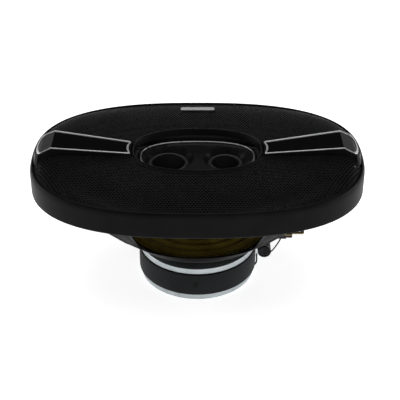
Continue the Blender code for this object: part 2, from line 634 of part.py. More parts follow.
def make_tweeter(size, x, dome_r, motion):
    """One dome tweeter: cup, magnet, pole plate, voice coil, dome and surround."""
    base, steps = POD_FLOOR_Z + GAP, SMALL_STEPS
    coil_in, coil_out = dome_r - 0.1, dome_r + 0.3
    cup_in, cup_out = coil_out + 0.5, coil_out + 1.6
    cup_top = DOME_Z - 0.9
    turned(f"{size}_tweeter_cup", [
        (0, base + 1.8), (cup_in, base + 1.8), (cup_in, cup_top),
        (cup_out, cup_top), (cup_out, base), (0, base),
    ], "zinc_plate", (x, 0), steps)
    magnet_low, magnet_high = base + 1.8 + GAP, DOME_Z - 3.3
    turned(f"{size}_tweeter_magnet", [
        (0, magnet_high), (coil_in - 1.4, magnet_high), (coil_in - 1.4, magnet_low), (0, magnet_low),
    ], "steel", (x, 0), steps)
    plate_low, plate_high = magnet_high + GAP, DOME_Z - 1.2
    turned(f"{size}_tweeter_pole_plate", [
        (0, plate_high), (coil_in - 0.5, plate_high), (coil_in - 0.5, plate_low), (0, plate_low),
    ], "zinc_plate", (x, 0), steps)
    turned(f"{size}_tweeter_coil", [
        (coil_out, DOME_Z - GAP), (coil_out, plate_low - 0.6),
        (coil_in, plate_low - 0.6), (coil_in, DOME_Z - GAP),
    ], "copper", (x, 0), steps, motion)
    height, skin, bands = 0.47 * dome_r, 0.35, 4
    radius = (dome_r ** 2 + height ** 2) / (2 * height)
    centre = DOME_Z + height - radius
    reach = math.asin(dome_r / radius)
    outside, inside = [(0, DOME_Z + height)], [(0, DOME_Z + height - skin)]
    for i in range(1, bands + 1):
        turn = reach * i / bands
        outside.append((radius * math.sin(turn), centre + radius * math.cos(turn)))
        inside.append(((radius - skin) * math.sin(turn), centre + (radius - skin) * math.cos(turn)))
    turned(f"{size}_tweeter_dome", outside + inside[::-1], "dome_cloth", (x, 0), steps, motion)
    first, last, swell = dome_r + 0.3, dome_r + 2.3, 1.1
    upper, lower = [], []
    for i in range(5):
        turn = math.pi * i / 4
        r = (first + last) / 2 - (last - first) / 2 * math.cos(turn)
        z = DOME_Z + swell * math.sin(turn)
        upper.append((r, z))
        lower.append((r, z - 0.3))
    lip = last + 1.6
    line = [*upper, (lip, DOME_Z), (lip, DOME_Z - 0.3), *lower[::-1]]
    turned(f"{size}_tweeter_surround", line, "rubber", (x, 0), steps)


def make_tweeters():
    """Both tweeters and the leads from the feed cable to them."""
    make_tweeter("large", LARGE_X, LARGE_DOME_R, LARGE_MOTION)
    make_tweeter("small", SMALL_X, SMALL_DOME_R, SMALL_MOTION)
    wire("large_tweeter_lead", [(-0.9, 0.9, 88.2), (-2.6, 1.6, 89.0), (-4.2, 2.2, 90.0), (-6.4, 2.4, 90.6)],
         0.4, "sleeve", per_span=2)
    wire("small_tweeter_lead", [(0.9, -0.9, 88.2), (2.6, -1.6, 89.0), (4.6, -2.2, 90.0), (7.8, -2.4, 90.6)],
         0.4, "sleeve", per_span=2)


# ---------------------------------------------------------------- grille

def mesh_height(x, y):
    """Height of the grille mesh: a low plateau that rises towards both ends and falls to the rim."""
    a, b = RIM_A - MESH_INSET, RIM_B - MESH_INSET
    reach = min(1.0, ((abs(x) / a) ** RIM_POWER + (abs(y) / b) ** RIM_POWER) ** (1 / RIM_POWER))
    end = (abs(x) / 110.0) ** 3
    return MESH_EDGE_Z + MESH_RISE * (1 - reach ** 6) + MESH_END_RISE * end * (1 - reach ** 16)


def arm_half_width(x):
    """Half width of the arm's trim at distance x."""
    if x <= ARM_KINK_X:
        t = (x - ARM_ROOT_X) / (ARM_KINK_X - ARM_ROOT_X)
        return ARM_ROOT_WIDTH + (ARM_KINK_WIDTH - ARM_ROOT_WIDTH) * t
    t = (x - ARM_KINK_X) / (ARM_END_X - ARM_KINK_X)
    return ARM_KINK_WIDTH + (ARM_END_WIDTH - ARM_KINK_WIDTH) * t


def arm_top(x):
    """Height of the arm's crest at distance x."""
    knots = (
        (ARM_ROOT_X, ARM_ROOT_Z), (ARM_KINK_X, ARM_KINK_Z), (ARM_END_X, ARM_END_Z), (ARM_TIP_X, ARM_TIP_Z),
    )
    first, second = knots[0], knots[1]
    for i in range(1, len(knots)):
        first, second = knots[i - 1], knots[i]
        if x <= second[0]:
            break
    t = (x - first[0]) / (second[0] - first[0])
    return first[1] + (second[1] - first[1]) * t


def arm_sheet(inset, lift, side, flare=0.0, floor=None):
    """Grid of points over the arm. The inset shrinks the outline, lift raises it above the crest."""
    across, along = 6, (0.0, 0.33, 0.66, 1.0)
    beyond = (0.5, 1.0)
    grid = []
    for k in range(len(along) + len(beyond)):
        row = []
        for j in range(across + 1):
            v = 2 * j / across - 1
            bow = 1 - v * v
            nip = ARM_NIP * max(0.0, (abs(v) - 0.7) / 0.3) ** 2
            root = ARM_ROOT_X + ARM_BOW * bow + nip + inset
            tip = ARM_END_X + (ARM_TIP_X - ARM_END_X) * bow - nip - inset
            if k < len(along):
                x = root + (ARM_KINK_X - root) * along[k]
            else:
                x = ARM_KINK_X + (tip - ARM_KINK_X) * beyond[k - len(along)]
            spread = flare * max(0.0, (x - ARM_KINK_X) / (ARM_TIP_X - ARM_KINK_X))
            y = v * (arm_half_width(x) - inset + spread)
            z = arm_top(x) + lift if floor is None else floor
            row.append((x * side, y, z))
        grid.append(row)
    return grid


def slab_mesh(name, top, bottom):
    """Closed slab between two grids of the same size."""
    shape = bmesh.new()
    layers = []
    for grid in (top, bottom):
        layers.append([[shape.verts.new((x * MM, y * MM, z * MM)) for x, y, z in row] for row in grid])
    for layer in layers:
        for row, following in zip(layer, layer[1:]):
            for j in range(len(row) - 1):
                shape.faces.new((row[j], row[j + 1], following[j + 1], following[j]))
    edges = []
    for layer in layers:
        right = [row[-1] for row in layer[1:-1]]
        left = [row[0] for row in layer[-2:0:-1]]
        edge = layer[0] + right + layer[-1][::-1] + left
        edges.append(edge)
    count = len(edges[0])
    for i in range(count):
        j = (i + 1) % count
        shape.faces.new((edges[0][i], edges[0][j], edges[1][j], edges[1][i]))
    return finish_mesh(shape, name)


def frame_mesh(name, outer, inner, depth):
    """Closed frame that follows the edge of two grids, one inside the other."""
    shape = bmesh.new()
    loops = []
    for grid, drop in ((outer, 0.0), (inner, 0.0), (inner, depth), (outer, depth)):
        edge = grid[0] + [row[-1] for row in grid[1:-1]] + grid[-1][::-1] + [row[0] for row in grid[-2:0:-1]]
        loops.append([shape.verts.new((x * MM, y * MM, (z - drop) * MM)) for x, y, z in edge])
    count = len(loops[0])
    for k in range(4):
        here, following = loops[k], loops[(k + 1) % 4]
        for i in range(count):
            j = (i + 1) % count
            shape.faces.new((here[i], here[j], following[j], following[i]))
    return finish_mesh(shape, name)


def make_grille_frame():
    """Outer rim with its skirt, and the bridge: centre ring and two arms."""
    rim = [
        (0.6, SEAT_Z), (0.0, SEAT_Z + 1.0), (0.0, 99.0), (0.4, 101.6), (1.2, 103.0), (2.0, RIM_TOP),
        (2.6, 103.2), (2.7, 101.3), (6.5, 101.0), (6.5, 99.4), (2.6, 98.0), (2.4, SEAT_Z),
    ]
    rings = [(RIM_A - inset, RIM_B - inset, z, RIM_POWER) for inset, z in rim]
    place("grille_rim", oval_mesh("grille_rim", rings, closed=True), "satin_plastic", GRILLE_MOTION)

    ring = [
        (RING_A + 1.2, RING_B + 1.4, ARM_FLOOR_Z), (RING_A + 1.0, RING_B + 1.2, 106.2),
        (RING_A + 0.4, RING_B + 0.4, RING_TOP - 0.3), (RING_A, RING_B, RING_TOP),
        (RING_A - 0.6, RING_B - 0.8, RING_TOP - 0.6), (RING_A - 1.7, RING_B - 2.2, 102.6),
        (RING_A - 1.2, RING_B - 1.6, 102.3),
    ]
    rings = [(a, b, z, 2.3) for a, b, z in ring]
    bridge = place("grille_bridge", oval_mesh("grille_bridge", rings, closed=True), "satin_plastic",
                   GRILLE_MOTION)
    outline = [
        (RIM_A - 0.5, RIM_B - 0.5, 95.0, RIM_POWER), (RIM_A - 0.5, RIM_B - 0.5, 125.0, RIM_POWER),
    ]
    limit = cutter("rim_outline", oval_mesh("rim_outline", outline, closed=False))
    for side, word in ((1, "right"), (-1, "left")):
        top = arm_sheet(-ARM_WALL, 0.0, side)
        foot = arm_sheet(-ARM_FOOT, 0.0, side, flare=ARM_FLARE, floor=ARM_FLOOR_Z)
        arm = cutter(f"arm_{word}", slab_mesh(f"arm_{word}", top, foot))
        combine(arm, limit, "INTERSECT")
        combine(bridge, arm, "UNION")
        pocket_top = arm_sheet(-GAP, 6.0, side)
        pocket_floor = arm_sheet(-GAP, -TRIM_DEPTH - 2 * GAP, side)
        cut(bridge, cutter(f"pocket_{word}", slab_mesh(f"pocket_{word}", pocket_top, pocket_floor)))


def make_arm_inlays():
    """Silver trim frame and gloss insert in each arm's pocket."""
    for side, word in ((1, "right"), (-1, "left")):
        outer, inner = arm_sheet(0.0, 0.0, side), arm_sheet(TRIM_WIDTH, 0.0, side)
        frame = frame_mesh(f"arm_trim_{word}", outer, inner, TRIM_DEPTH)
        place(f"arm_trim_{word}", frame, "silver_trim", GRILLE_MOTION, smooth=False)
        top = arm_sheet(TRIM_WIDTH + GAP, -0.4, side)
        bottom = arm_sheet(TRIM_WIDTH + GAP, -TRIM_DEPTH - GAP, side)
        insert = slab_mesh(f"arm_insert_{word}", top, bottom)
        place(f"arm_insert_{word}", insert, "gloss_plastic", GRILLE_MOTION, smooth=False)


def foot_half_width(x):
    """Half width of the bridge's foot at distance x from the centre: ring, then arm."""
    ring_a, ring_b, power = RING_A + 1.2, RING_B + 1.4, 2.3
    ring = 0.0
    if x < ring_a:
        ring = ring_b * (1 - (x / ring_a) ** power) ** (1 / power)
    arm = 0.0
    if x > ARM_ROOT_X - 3:
        spread = ARM_FLARE * max(0.0, (x - ARM_KINK_X) / (ARM_TIP_X - ARM_KINK_X))
        arm = arm_half_width(max(x, ARM_ROOT_X)) + ARM_FOOT + spread
    return max(ring, arm)


def make_mesh_halves():
    """Front and rear grille mesh, each one a thin shell between the bridge and the rim."""
    a, b = RIM_A - MESH_INSET, RIM_B - MESH_INSET
    columns, rows, reach = 28, 4, 117.2
    for name, side in (("grille_mesh_front", -1), ("grille_mesh_rear", 1)):
        top, bottom = [], []
        for i in range(columns + 1):
            x = -reach * math.cos(math.pi * i / columns)
            near = foot_half_width(abs(x)) + 0.5
            far = b * (1 - (abs(x) / a) ** RIM_POWER) ** (1 / RIM_POWER)
            top_row, bottom_row = [], []
            for j in range(rows + 1):
                t = j / rows
                y = side * (near + (far - near) * t)
                z = mesh_height(x, y)
                top_row.append((x, y, z))
                bottom_row.append((x, y, z - MESH_THICK))
            top.append(top_row)
            bottom.append(bottom_row)
        place(name, slab_mesh(name, top, bottom), "mesh_paint", GRILLE_MOTION)


def make_badge():
    """Blank name plate on the rear mesh."""
    half_length, y, depth = 13.5, 68.4, 3.0
    corners = [(-half_length, -depth), (half_length, -depth), (half_length, depth), (-half_length, depth)]
    mesh = plate_mesh("badge_plate", rounded_quad(corners, 1.2), 0.0, 0.8)
    slope = (mesh_height(0, y + 1) - mesh_height(0, y - 1)) / 2
    mesh.transform(Matrix.Rotation(math.atan(slope), 4, "X"))
    mesh.transform(Matrix.Translation((0, y * MM, (mesh_height(0, y) + GAP + 0.1) * MM)))
    place("badge_plate", mesh, "badge_metal", GRILLE_MOTION, smooth=False)


make_basket(make_motor())
make_moving_parts()
make_terminals()
make_pod()
make_tweeters()
make_grille_frame()
make_arm_inlays()
make_mesh_halves()
make_badge()
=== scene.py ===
"""Oval coaxial car speaker: the finished pieces, built round the packed model.

The frame's origin is the centre of the magnet's back face, +Z points out of the grille and +X runs
along the long axis. Settings are in metres. The shape helpers take millimetres.
"""

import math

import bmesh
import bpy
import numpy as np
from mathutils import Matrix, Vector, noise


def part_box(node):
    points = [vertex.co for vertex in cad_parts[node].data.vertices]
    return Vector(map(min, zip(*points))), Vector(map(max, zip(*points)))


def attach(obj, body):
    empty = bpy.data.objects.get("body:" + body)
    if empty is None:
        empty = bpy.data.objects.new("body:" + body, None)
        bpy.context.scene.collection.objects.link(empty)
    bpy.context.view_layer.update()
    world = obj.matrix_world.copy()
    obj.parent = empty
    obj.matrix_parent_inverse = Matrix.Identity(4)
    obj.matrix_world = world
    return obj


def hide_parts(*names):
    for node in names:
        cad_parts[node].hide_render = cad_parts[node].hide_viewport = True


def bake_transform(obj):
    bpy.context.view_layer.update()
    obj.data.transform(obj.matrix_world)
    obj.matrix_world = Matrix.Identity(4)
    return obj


bl_info = {
    "name": "Coaxial Car Speaker",
    "version": (1, 0, 0),
    "blender": (4, 5, 0),
    "location": "View3D > Sidebar > Speaker",
    "description": "Builds an oval coaxial car speaker with a mesh grille and a two-dome tweeter pod",
    "category": "Add Mesh",
}

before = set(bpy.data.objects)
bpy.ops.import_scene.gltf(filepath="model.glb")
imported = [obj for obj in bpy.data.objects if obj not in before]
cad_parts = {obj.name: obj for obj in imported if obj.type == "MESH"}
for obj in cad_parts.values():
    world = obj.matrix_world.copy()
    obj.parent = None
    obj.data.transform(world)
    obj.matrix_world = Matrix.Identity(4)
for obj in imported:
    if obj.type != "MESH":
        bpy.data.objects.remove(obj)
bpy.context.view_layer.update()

MM = 0.001


# ---------------------------------------------------------------- sizes taken from the frame

def box_mm(node):
    """Lowest and highest corner of a CAD node, in millimetres."""
    low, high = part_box(node)
    return low / MM, high / MM


RIM_LOW, RIM_HIGH = box_mm("grille_rim")
RIM_A, RIM_B, RIM_TOP, SEAT_Z = RIM_HIGH.x, RIM_HIGH.y, RIM_HIGH.z, RIM_LOW.z
RIM_POWER = 2.57                 # power of the grille's superellipse
FLANGE_HIGH = box_mm("basket_flange")[1]
FLANGE_REACH = 1.9                # how much further the flange reaches towards the skirt than its plain solid
FLANGE_A, FLANGE_B = FLANGE_HIGH.x + FLANGE_REACH, FLANGE_HIGH.y + FLANGE_REACH
FLOOR_Z, SHELL = box_mm("basket_cup")[0].z, FLANGE_HIGH.z - SEAT_Z
CUT_A, CUT_B, CUT_POWER = 109.4, 74.9, 2.2       # outside of the basket at the panel cut-out
MAGNET_LOW, MAGNET_HIGH = box_mm("magnet_ring")
BACK_HIGH = box_mm("back_plate_and_pole")[1]
TOP_LOW, TOP_HIGH = box_mm("top_plate")
SPIDER_LOW, SPIDER_HIGH = box_mm("spider")
SPIDER_R, SPIDER_Z = SPIDER_HIGH.x, (SPIDER_LOW.z + SPIDER_HIGH.z) / 2
SHELF_Z, SHELF_R = 44.6, 57.0
FORMER_LOW, FORMER_HIGH = box_mm("voice_coil_former")
CONE_LOW, CONE_HIGH = box_mm("cone")
SURROUND_LOW = box_mm("surround")[0]
FACE_LOW, FACE_HIGH = box_mm("pod_face")
LARGE_X = sum(corner.x for corner in box_mm("large_tweeter_dome")) / 2
SMALL_X = sum(corner.x for corner in box_mm("small_tweeter_dome")) / 2

RING_A, RING_B, RING_TOP, RING_POWER = 48.3, 32.0, 107.4, 2.3    # crest of the grille's centre ring
ARM_ROOT, ARM_KINK, ARM_END, ARM_TIP = 49.3, 107.5, 117.0, 119.8
ARM_WIDTHS = ((ARM_ROOT, 9.4), (ARM_KINK, 14.1), (ARM_END, 15.0))
ARM_HEIGHTS = ((ARM_ROOT, 108.5), (ARM_KINK, 115.5), (ARM_END, 110.9), (ARM_TIP, 109.0))
ARM_BOW, ARM_NIP = 2.2, 1.3                      # the trim's ends curve in, and its corners are rounded
ARM_WALL, ARM_FOOT, ARM_FLARE, ARM_FLOOR = 1.2, 2.2, 3.6, 103.9
TRIM_WIDTH, TRIM_DEPTH = 1.4, 1.0
POD_POWER = 2.5

OVAL_STEPS, ROUND_STEPS, SMALL_STEPS = 192, 144, 72
REAR_SHARE = 0.4                  # rear light's power as a share of a side light's
CAMERA_AIM = (1.95, 0.0, 62.0)    # middle of the view


# ---------------------------------------------------------------- settings

def colour(name, description, rgb):
    """Colour property."""
    return bpy.props.FloatVectorProperty(
        name=name, description=description, default=rgb, min=0.0, max=1.0, size=3, subtype="COLOR")


def length(name, description, default):
    """Length property, in metres."""
    return bpy.props.FloatProperty(
        name=name, description=description, default=default, min=0.0, precision=5, unit="LENGTH",
        subtype="DISTANCE")


class GrilleSettings(bpy.types.PropertyGroup):
    """Sizes and finishes of the push-on grille."""

    hole_pitch: length("Hole pitch", "Distance between the holes of the mesh", 0.0023)
    hole_share: bpy.props.FloatProperty(
        name="Hole share", description="Width of a hole as a share of the pitch", default=0.66, min=0.3,
        max=0.85,
        subtype="FACTOR")
    sheet: length("Sheet thickness", "Thickness of the mesh sheet", 0.0007)
    edge_band: length("Edge band", "Width of the plain edge of the mesh", 0.0012)
    edge_round: length("Edge rounding", "Rounding of the moulded edges", 0.0004)
    plastic: colour("Moulding", "Satin plastic of the rim, ring and arms", (0.0042, 0.0042, 0.0045))
    mesh: colour("Mesh", "Powder coat of the mesh", (0.0070, 0.0070, 0.0074))
    insert: colour("Insert", "Gloss plastic in the arms", (0.002, 0.002, 0.0025))
    trim: colour("Trim", "Silver plating round the inserts", (0.52, 0.52, 0.53))
    badge: colour("Badge", "Blank badge plate", (0.40, 0.40, 0.41))


class MotorSettings(bpy.types.PropertyGroup):
    """Finishes of the motor and the basket."""

    chamfer: length("Chamfer", "Chamfer of the plates", 0.0009)
    plate: colour("Plate", "Zinc plating of the steel plates", (0.50, 0.545, 0.56))
    ferrite: colour("Ferrite", "Sintered magnet", (0.0080, 0.0086, 0.0098))
    basket: colour("Basket", "Paint of the pressed basket", (0.0035, 0.0035, 0.0040))
    steel: colour("Steel", "Rivets and screws", (0.50, 0.50, 0.51))


class ConeSettings(bpy.types.PropertyGroup):
    """Sizes and finishes of the moving parts."""

    wave_pitch: length("Wave pitch", "Distance between the spider's corrugations", 0.0075)
    wave_height: length("Wave height", "Height of the corrugations, crest to middle", 0.0011)
    wire: length("Wire", "Diameter of the voice coil's wire", 0.00045)
    spider: colour("Spider", "Treated cloth of the spider", (0.26, 0.20, 0.025))
    cone: colour("Cone", "Pressed fibre of the cone", (0.016, 0.016, 0.018))
    rubber: colour("Rubber", "Surrounds and gasket", (0.010, 0.010, 0.010))
    former: colour("Former", "Film of the voice coil's former", (0.42, 0.24, 0.06))
    copper: colour("Copper", "Enamelled wire", (0.60, 0.22, 0.09))


class PodSettings(bpy.types.PropertyGroup):
    """Finishes of the tweeter pod."""

    housing: colour("Housing", "Satin plastic of the pod", (0.0045, 0.0045, 0.0053))
    ring: colour("Ring", "Silver ring round the pod's face", (0.66, 0.66, 0.67))
    dome: colour("Dome", "Coated cloth of the domes", (0.0028, 0.0029, 0.0034))


class WiringSettings(bpy.types.PropertyGroup):
    """Finishes of the terminals and wires."""

    board: colour("Board", "Pressed fibre board", (0.020, 0.016, 0.013))
    brass: colour("Brass", "Plated blades", (0.30, 0.24, 0.12))
    sleeve: colour("Sleeve", "Black sleeve of wires and capacitor", (0.0055, 0.0055, 0.0070))
    braid: colour("Braid", "Tinned braid of the tinsel leads", (0.55, 0.46, 0.34))
    foil: colour("Foil", "Foil tape", (0.70, 0.76, 0.76))


class StudioSettings(bpy.types.PropertyGroup):
    """Floor, lights and camera."""

    floor: colour("Floor", "Pale floor", (0.92, 0.92, 0.92))
    floor_glow: bpy.props.FloatProperty(
        name="Floor glow", description="Light of the floor itself", default=0.78, min=0.0)
    key_power: bpy.props.FloatProperty(
        name="Key light", description="Power of the soft light above", default=9.0, min=0.0, unit="POWER")
    front_power: bpy.props.FloatProperty(
        name="Front light", description="Power of the soft light in front", default=1.2, min=0.0,
        unit="POWER")
    side_power: bpy.props.FloatProperty(
        name="Side lights", description="Power of each soft side light", default=4.0, min=0.0,
        unit="POWER")
    surround_light: bpy.props.FloatProperty(
        name="Surrounding light", description="Strength of the pale surroundings", default=1.0, min=0.0)
    distance: length("Camera distance", "From the camera to the middle of the speaker", 0.7895)
    height: bpy.props.FloatProperty(
        name="Camera elevation", description="Camera's angle above the horizon",
        default=math.radians(31.92),
        unit="ROTATION", subtype="ANGLE")
    lens: bpy.props.FloatProperty(
        name="Lens", description="Focal length", default=92.25, min=1.0, unit="CAMERA")


# ---------------------------------------------------------------- node helpers

class Sketch:
    """Adds nodes to a tree, each one with its settings, values and links in one call."""

    def __init__(self, tree):
        self.tree = tree

    def add(self, kind, values=None, **settings):
        """Add a node. Values are keyed by socket name or number, and a socket as a value makes a link."""
        node = self.tree.nodes.new(kind)
        for name, value in settings.items():
            setattr(node, name, value)
        for key, value in (values or {}).items():
            if isinstance(value, bpy.types.NodeSocket):
                self.tree.links.new(value, node.inputs[key])
            else:
                node.inputs[key].default_value = value
        return node

    def maths(self, operation, *values):
        """Maths node's output."""
        return self.add("ShaderNodeMath", dict(enumerate(values)), operation=operation).outputs[0]

    def ramp(self, factor, stops):
        """Colour ramp's output for (position, grey or colour) stops."""
        node = self.add("ShaderNodeValToRGB", {0: factor})
        elements = node.color_ramp.elements
        while len(elements) < len(stops):
            elements.new(0.5)
        for element, (position, tone) in zip(elements, stops):
            element.position = position
            element.color = (*tone, 1.0) if hasattr(tone, "__len__") else (tone, tone, tone, 1.0)
        return node.outputs[0]

    def mix(self, factor, first, second):
        """Mix of two colours."""
        node = self.add("ShaderNodeMix", data_type="RGBA")
        for socket, value in ((node.inputs[0], factor), (node.inputs[6], first),
                              (node.inputs[7], second)):
            if isinstance(value, bpy.types.NodeSocket):
                self.tree.links.new(value, socket)
            elif socket.type == "RGBA":
                socket.default_value = (*value, 1.0)
            else:
                socket.default_value = value
        return node.outputs[2]


def shade(rgb, factor):
    """Colour made lighter or darker."""
    return tuple(min(1.0, channel * factor) for channel in rgb)


def surface(name, base, build, **constants):
    """Material with a Principled shader. build(sketch, coords, base) gives colour, roughness and normal."""
    name = f"{name}_finish"
    found = bpy.data.materials.get(name)
    if found:
        return found
    made = bpy.data.materials.new(name)
    made.use_nodes = True
    made.diffuse_color = (*base, 1.0)
    shader = made.node_tree.nodes["Principled BSDF"]
    sketch = Sketch(made.node_tree)
    for socket, value in constants.items():
        shader.inputs[socket.replace("_", " ")].default_value = value
    coords = sketch.add("ShaderNodeTexCoord").outputs["Object"]
    for socket, output in build(sketch, coords, base).items():
        made.node_tree.links.new(output, shader.inputs[socket])
    return made


def stretched(sketch, coords, scale):
    """Object coordinates stretched by a Mapping node."""
    return sketch.add("ShaderNodeMapping", {"Vector": coords, "Scale": scale}).outputs[0]


def noise_at(sketch, coords, scale, detail=3.0, rough=0.5):
    """Noise texture's factor."""
    values = {"Vector": coords, "Scale": scale, "Detail": detail, "Roughness": rough}
    return sketch.add("ShaderNodeTexNoise", values).outputs[0]


def span(sketch, factor, low, high):
    """Factor mapped to a range."""
    return sketch.add("ShaderNodeMapRange", {0: factor, 1: 0.25, 2: 0.75, 3: low, 4: high}).outputs[0]


def bumped(sketch, height, depth, strength=1.0, normal=None):
    """Bump of a given depth in metres."""
    values = {"Height": height, "Distance": depth, "Strength": strength}
    if normal:
        values["Normal"] = normal
    return sketch.add("ShaderNodeBump", values).outputs[0]


# ---------------------------------------------------------------- finishes

def grained(grain, depth, rough_low, rough_high, patch=55.0, wear=1.5):
    """Moulded or painted surface: fine grain, soft patches of tone and handling marks in the gloss."""
    def build(sketch, coords, base):
        patches = noise_at(sketch, coords, patch, 4.0, 0.6)
        marks = noise_at(sketch, coords, patch * 4, 6.0, 0.7)
        fine = noise_at(sketch, coords, grain, 2.0, 0.6)
        return {
            "Base Color": sketch.ramp(patches, ((0.3, shade(base, 0.85)), (0.7, shade(base, wear)))),
            "Roughness": span(sketch, marks, rough_low, rough_high),
            "Normal": bumped(sketch, fine, depth),
        }
    return build


def glossy(sketch, coords, base):
    """Polished black plastic: faint waviness, fine dust and wipe marks."""
    wave = noise_at(sketch, coords, 45.0, 2.0, 0.4)
    dust = noise_at(sketch, coords, 2600.0, 1.0, 0.5)
    wipe = noise_at(sketch, stretched(sketch, coords, (1.0, 6.0, 1.0)), 90.0, 5.0, 0.7)
    return {
        "Base Color": sketch.ramp(dust, ((0.72, base), (0.80, shade(base, 6.0)))),
        "Roughness": span(sketch, wipe, 0.05, 0.11),
        "Normal": bumped(sketch, wave, 0.00006),
    }


def brushed(direction, rough_low=0.24, rough_high=0.40):
    """Plated metal with fine lines along one axis."""
    def build(sketch, coords, base):
        lines = noise_at(sketch, stretched(sketch, coords, direction), 1.0, 3.0, 0.6)
        cloud = noise_at(sketch, coords, 110.0, 3.0, 0.5)
        return {
            "Base Color": sketch.ramp(cloud, ((0.3, shade(base, 0.86)), (0.7, shade(base, 1.06)))),
            "Roughness": span(sketch, lines, rough_low, rough_high),
            "Normal": bumped(sketch, lines, 0.00001, 0.5),
        }
    return build


def zinc(sketch, coords, base):
    """Zinc plate: bluish clouds, turning lines round the rim, dull spots and a few dark pores."""
    cloud = noise_at(sketch, coords, 60.0, 5.0, 0.6)
    lines = noise_at(sketch, stretched(sketch, coords, (6.0, 6.0, 900.0)), 2.0, 4.0, 0.6)
    spots = noise_at(sketch, coords, 420.0, 2.0, 0.6)
    tone = sketch.ramp(cloud, ((0.25, shade(base, 0.70)), (0.5, base), (0.75, (0.60, 0.635, 0.66))))
    streaks = sketch.ramp(lines, ((0.2, 0.62), (0.8, 1.0)))
    mixed = sketch.add("ShaderNodeMix", {0: 0.75}, data_type="RGBA", blend_type="MULTIPLY")
    sketch.tree.links.new(tone, mixed.inputs[6])
    sketch.tree.links.new(streaks, mixed.inputs[7])
    pores = sketch.ramp(spots, ((0.70, 0.0), (0.76, 1.0)))
    return {
        "Base Color": sketch.mix(pores, mixed.outputs[2], shade(base, 0.35)),
        "Roughness": span(sketch, cloud, 0.26, 0.46),
        "Normal": bumped(sketch, lines, 0.00003, 0.6),
    }


def ferrite(sketch, coords, base):
    """Sintered ferrite: grinding lines, pale grains, and one ragged dark stain on the front."""
    grains = noise_at(sketch, coords, 900.0, 3.0, 0.7)
    cloud = noise_at(sketch, coords, 40.0, 4.0, 0.6)
    lines = noise_at(sketch, stretched(sketch, coords, (8.0, 8.0, 500.0)), 2.0, 3.0, 0.6)
    tone = sketch.ramp(cloud, ((0.3, shade(base, 0.75)), (0.7, shade(base, 1.35))))
    grained_tone = sketch.mix(sketch.ramp(grains, ((0.60, 0.0), (0.75, 1.0))), tone, shade(base, 2.2))
    stain = (-1.6 * MM, -MAGNET_HIGH.x * MM, 14.6 * MM)
    away = sketch.add("ShaderNodeVectorMath", {0: coords, 1: stain}, operation="DISTANCE").outputs["Value"]
    ragged = sketch.maths("ADD", away, sketch.maths("MULTIPLY", noise_at(sketch, coords, 330.0), 0.0032))
    inside = sketch.ramp(sketch.maths("MULTIPLY", ragged, 100.0), ((0.36, 1.0), (0.44, 0.0)))
    return {
        "Base Color": sketch.mix(inside, grained_tone, shade(base, 0.25)),
        "Roughness": span(sketch, grains, 0.50, 0.72),
        "Normal": bumped(sketch, sketch.maths("ADD", grains, lines), 0.00005),
    }


def woven(threads, depth, tint):
    """Cloth: two sets of crossing threads, with stains of a second tone."""
    def build(sketch, coords, base):
        waves = [
            sketch.add("ShaderNodeTexWave", {"Vector": coords, "Scale": threads, "Distortion": 0.6,
                                             "Detail": 1.0},
                       bands_direction=axis).outputs["Fac"]
            for axis in ("X", "Y")
        ]
        cloth = sketch.maths("MAXIMUM", *waves)
        stain = noise_at(sketch, coords, 70.0, 5.0, 0.65)
        tone = sketch.mix(sketch.ramp(stain, ((0.35, 0.0), (0.65, 1.0))), base, tint)
        shadow = sketch.ramp(cloth, ((0.35, 0.45), (0.85, 1.0)))
        mixed = sketch.add("ShaderNodeMix", {0: 1.0}, data_type="RGBA", blend_type="MULTIPLY")
        sketch.tree.links.new(tone, mixed.inputs[6])
        sketch.tree.links.new(shadow, mixed.inputs[7])
        return {
            "Base Color": mixed.outputs[2],
            "Roughness": span(sketch, stain, 0.55, 0.85),
            "Normal": bumped(sketch, cloth, depth),
        }
    return build


def fibrous(sketch, coords, base):
    """Pressed paper pulp: long and short fibres."""
    long_fibres = noise_at(sketch, stretched(sketch, coords, (3.0, 1.0, 1.0)), 300.0, 5.0, 0.7)
    short_fibres = noise_at(sketch, coords, 1500.0, 3.0, 0.7)
    both = sketch.maths("ADD", long_fibres, short_fibres)
    return {
        "Base Color": sketch.ramp(long_fibres, ((0.35, shade(base, 0.8)), (0.7, shade(base, 1.9)))),
        "Roughness": span(sketch, short_fibres, 0.6, 0.85),
        "Normal": bumped(sketch, both, 0.00012),
    }


def crumpled(sketch, coords, base):
    """Foil tape: soft creases and smudges."""
    creases = sketch.add("ShaderNodeTexVoronoi", {"Vector": coords, "Scale": 260.0}).outputs["Distance"]
    smudge = noise_at(sketch, coords, 150.0, 4.0, 0.6)
    return {
        "Base Color": sketch.ramp(smudge, ((0.3, shade(base, 0.7)), (0.7, base))),
        "Roughness": span(sketch, smudge, 0.18, 0.38),
        "Normal": bumped(sketch, creases, 0.00025),
    }


def braided(sketch, coords, base):
    """Braid of fine wires: slanting bands across the lead."""
    bands = sketch.add("ShaderNodeTexWave", {"Vector": coords, "Scale": 900.0},
                       bands_direction="DIAGONAL")
    band = bands.outputs["Fac"]
    # painted shade: the colour darkens to a third in the grooves between the strands
    return {
        "Base Color": sketch.ramp(band, ((0.1, shade(base, 0.35)), (0.6, base))),
        "Roughness": span(sketch, band, 0.30, 0.50),
        "Normal": bumped(sketch, band, 0.00012),
    }


def studio_floor(sketch, coords, base):
    """Matt pale floor with barely visible cloudiness."""
    cloud = noise_at(sketch, coords, 6.0, 3.0, 0.5)
    return {
        "Base Color": sketch.ramp(cloud, ((0.3, shade(base, 0.995)), (0.7, base))),
        "Roughness": span(sketch, cloud, 0.85, 0.95),
    }


def settings(group):
    """One of the scene's setting groups."""
    return getattr(bpy.context.scene, f"speaker_{group}")


def rgb(value):
    """Colour property as a plain tuple."""
    return tuple(value)


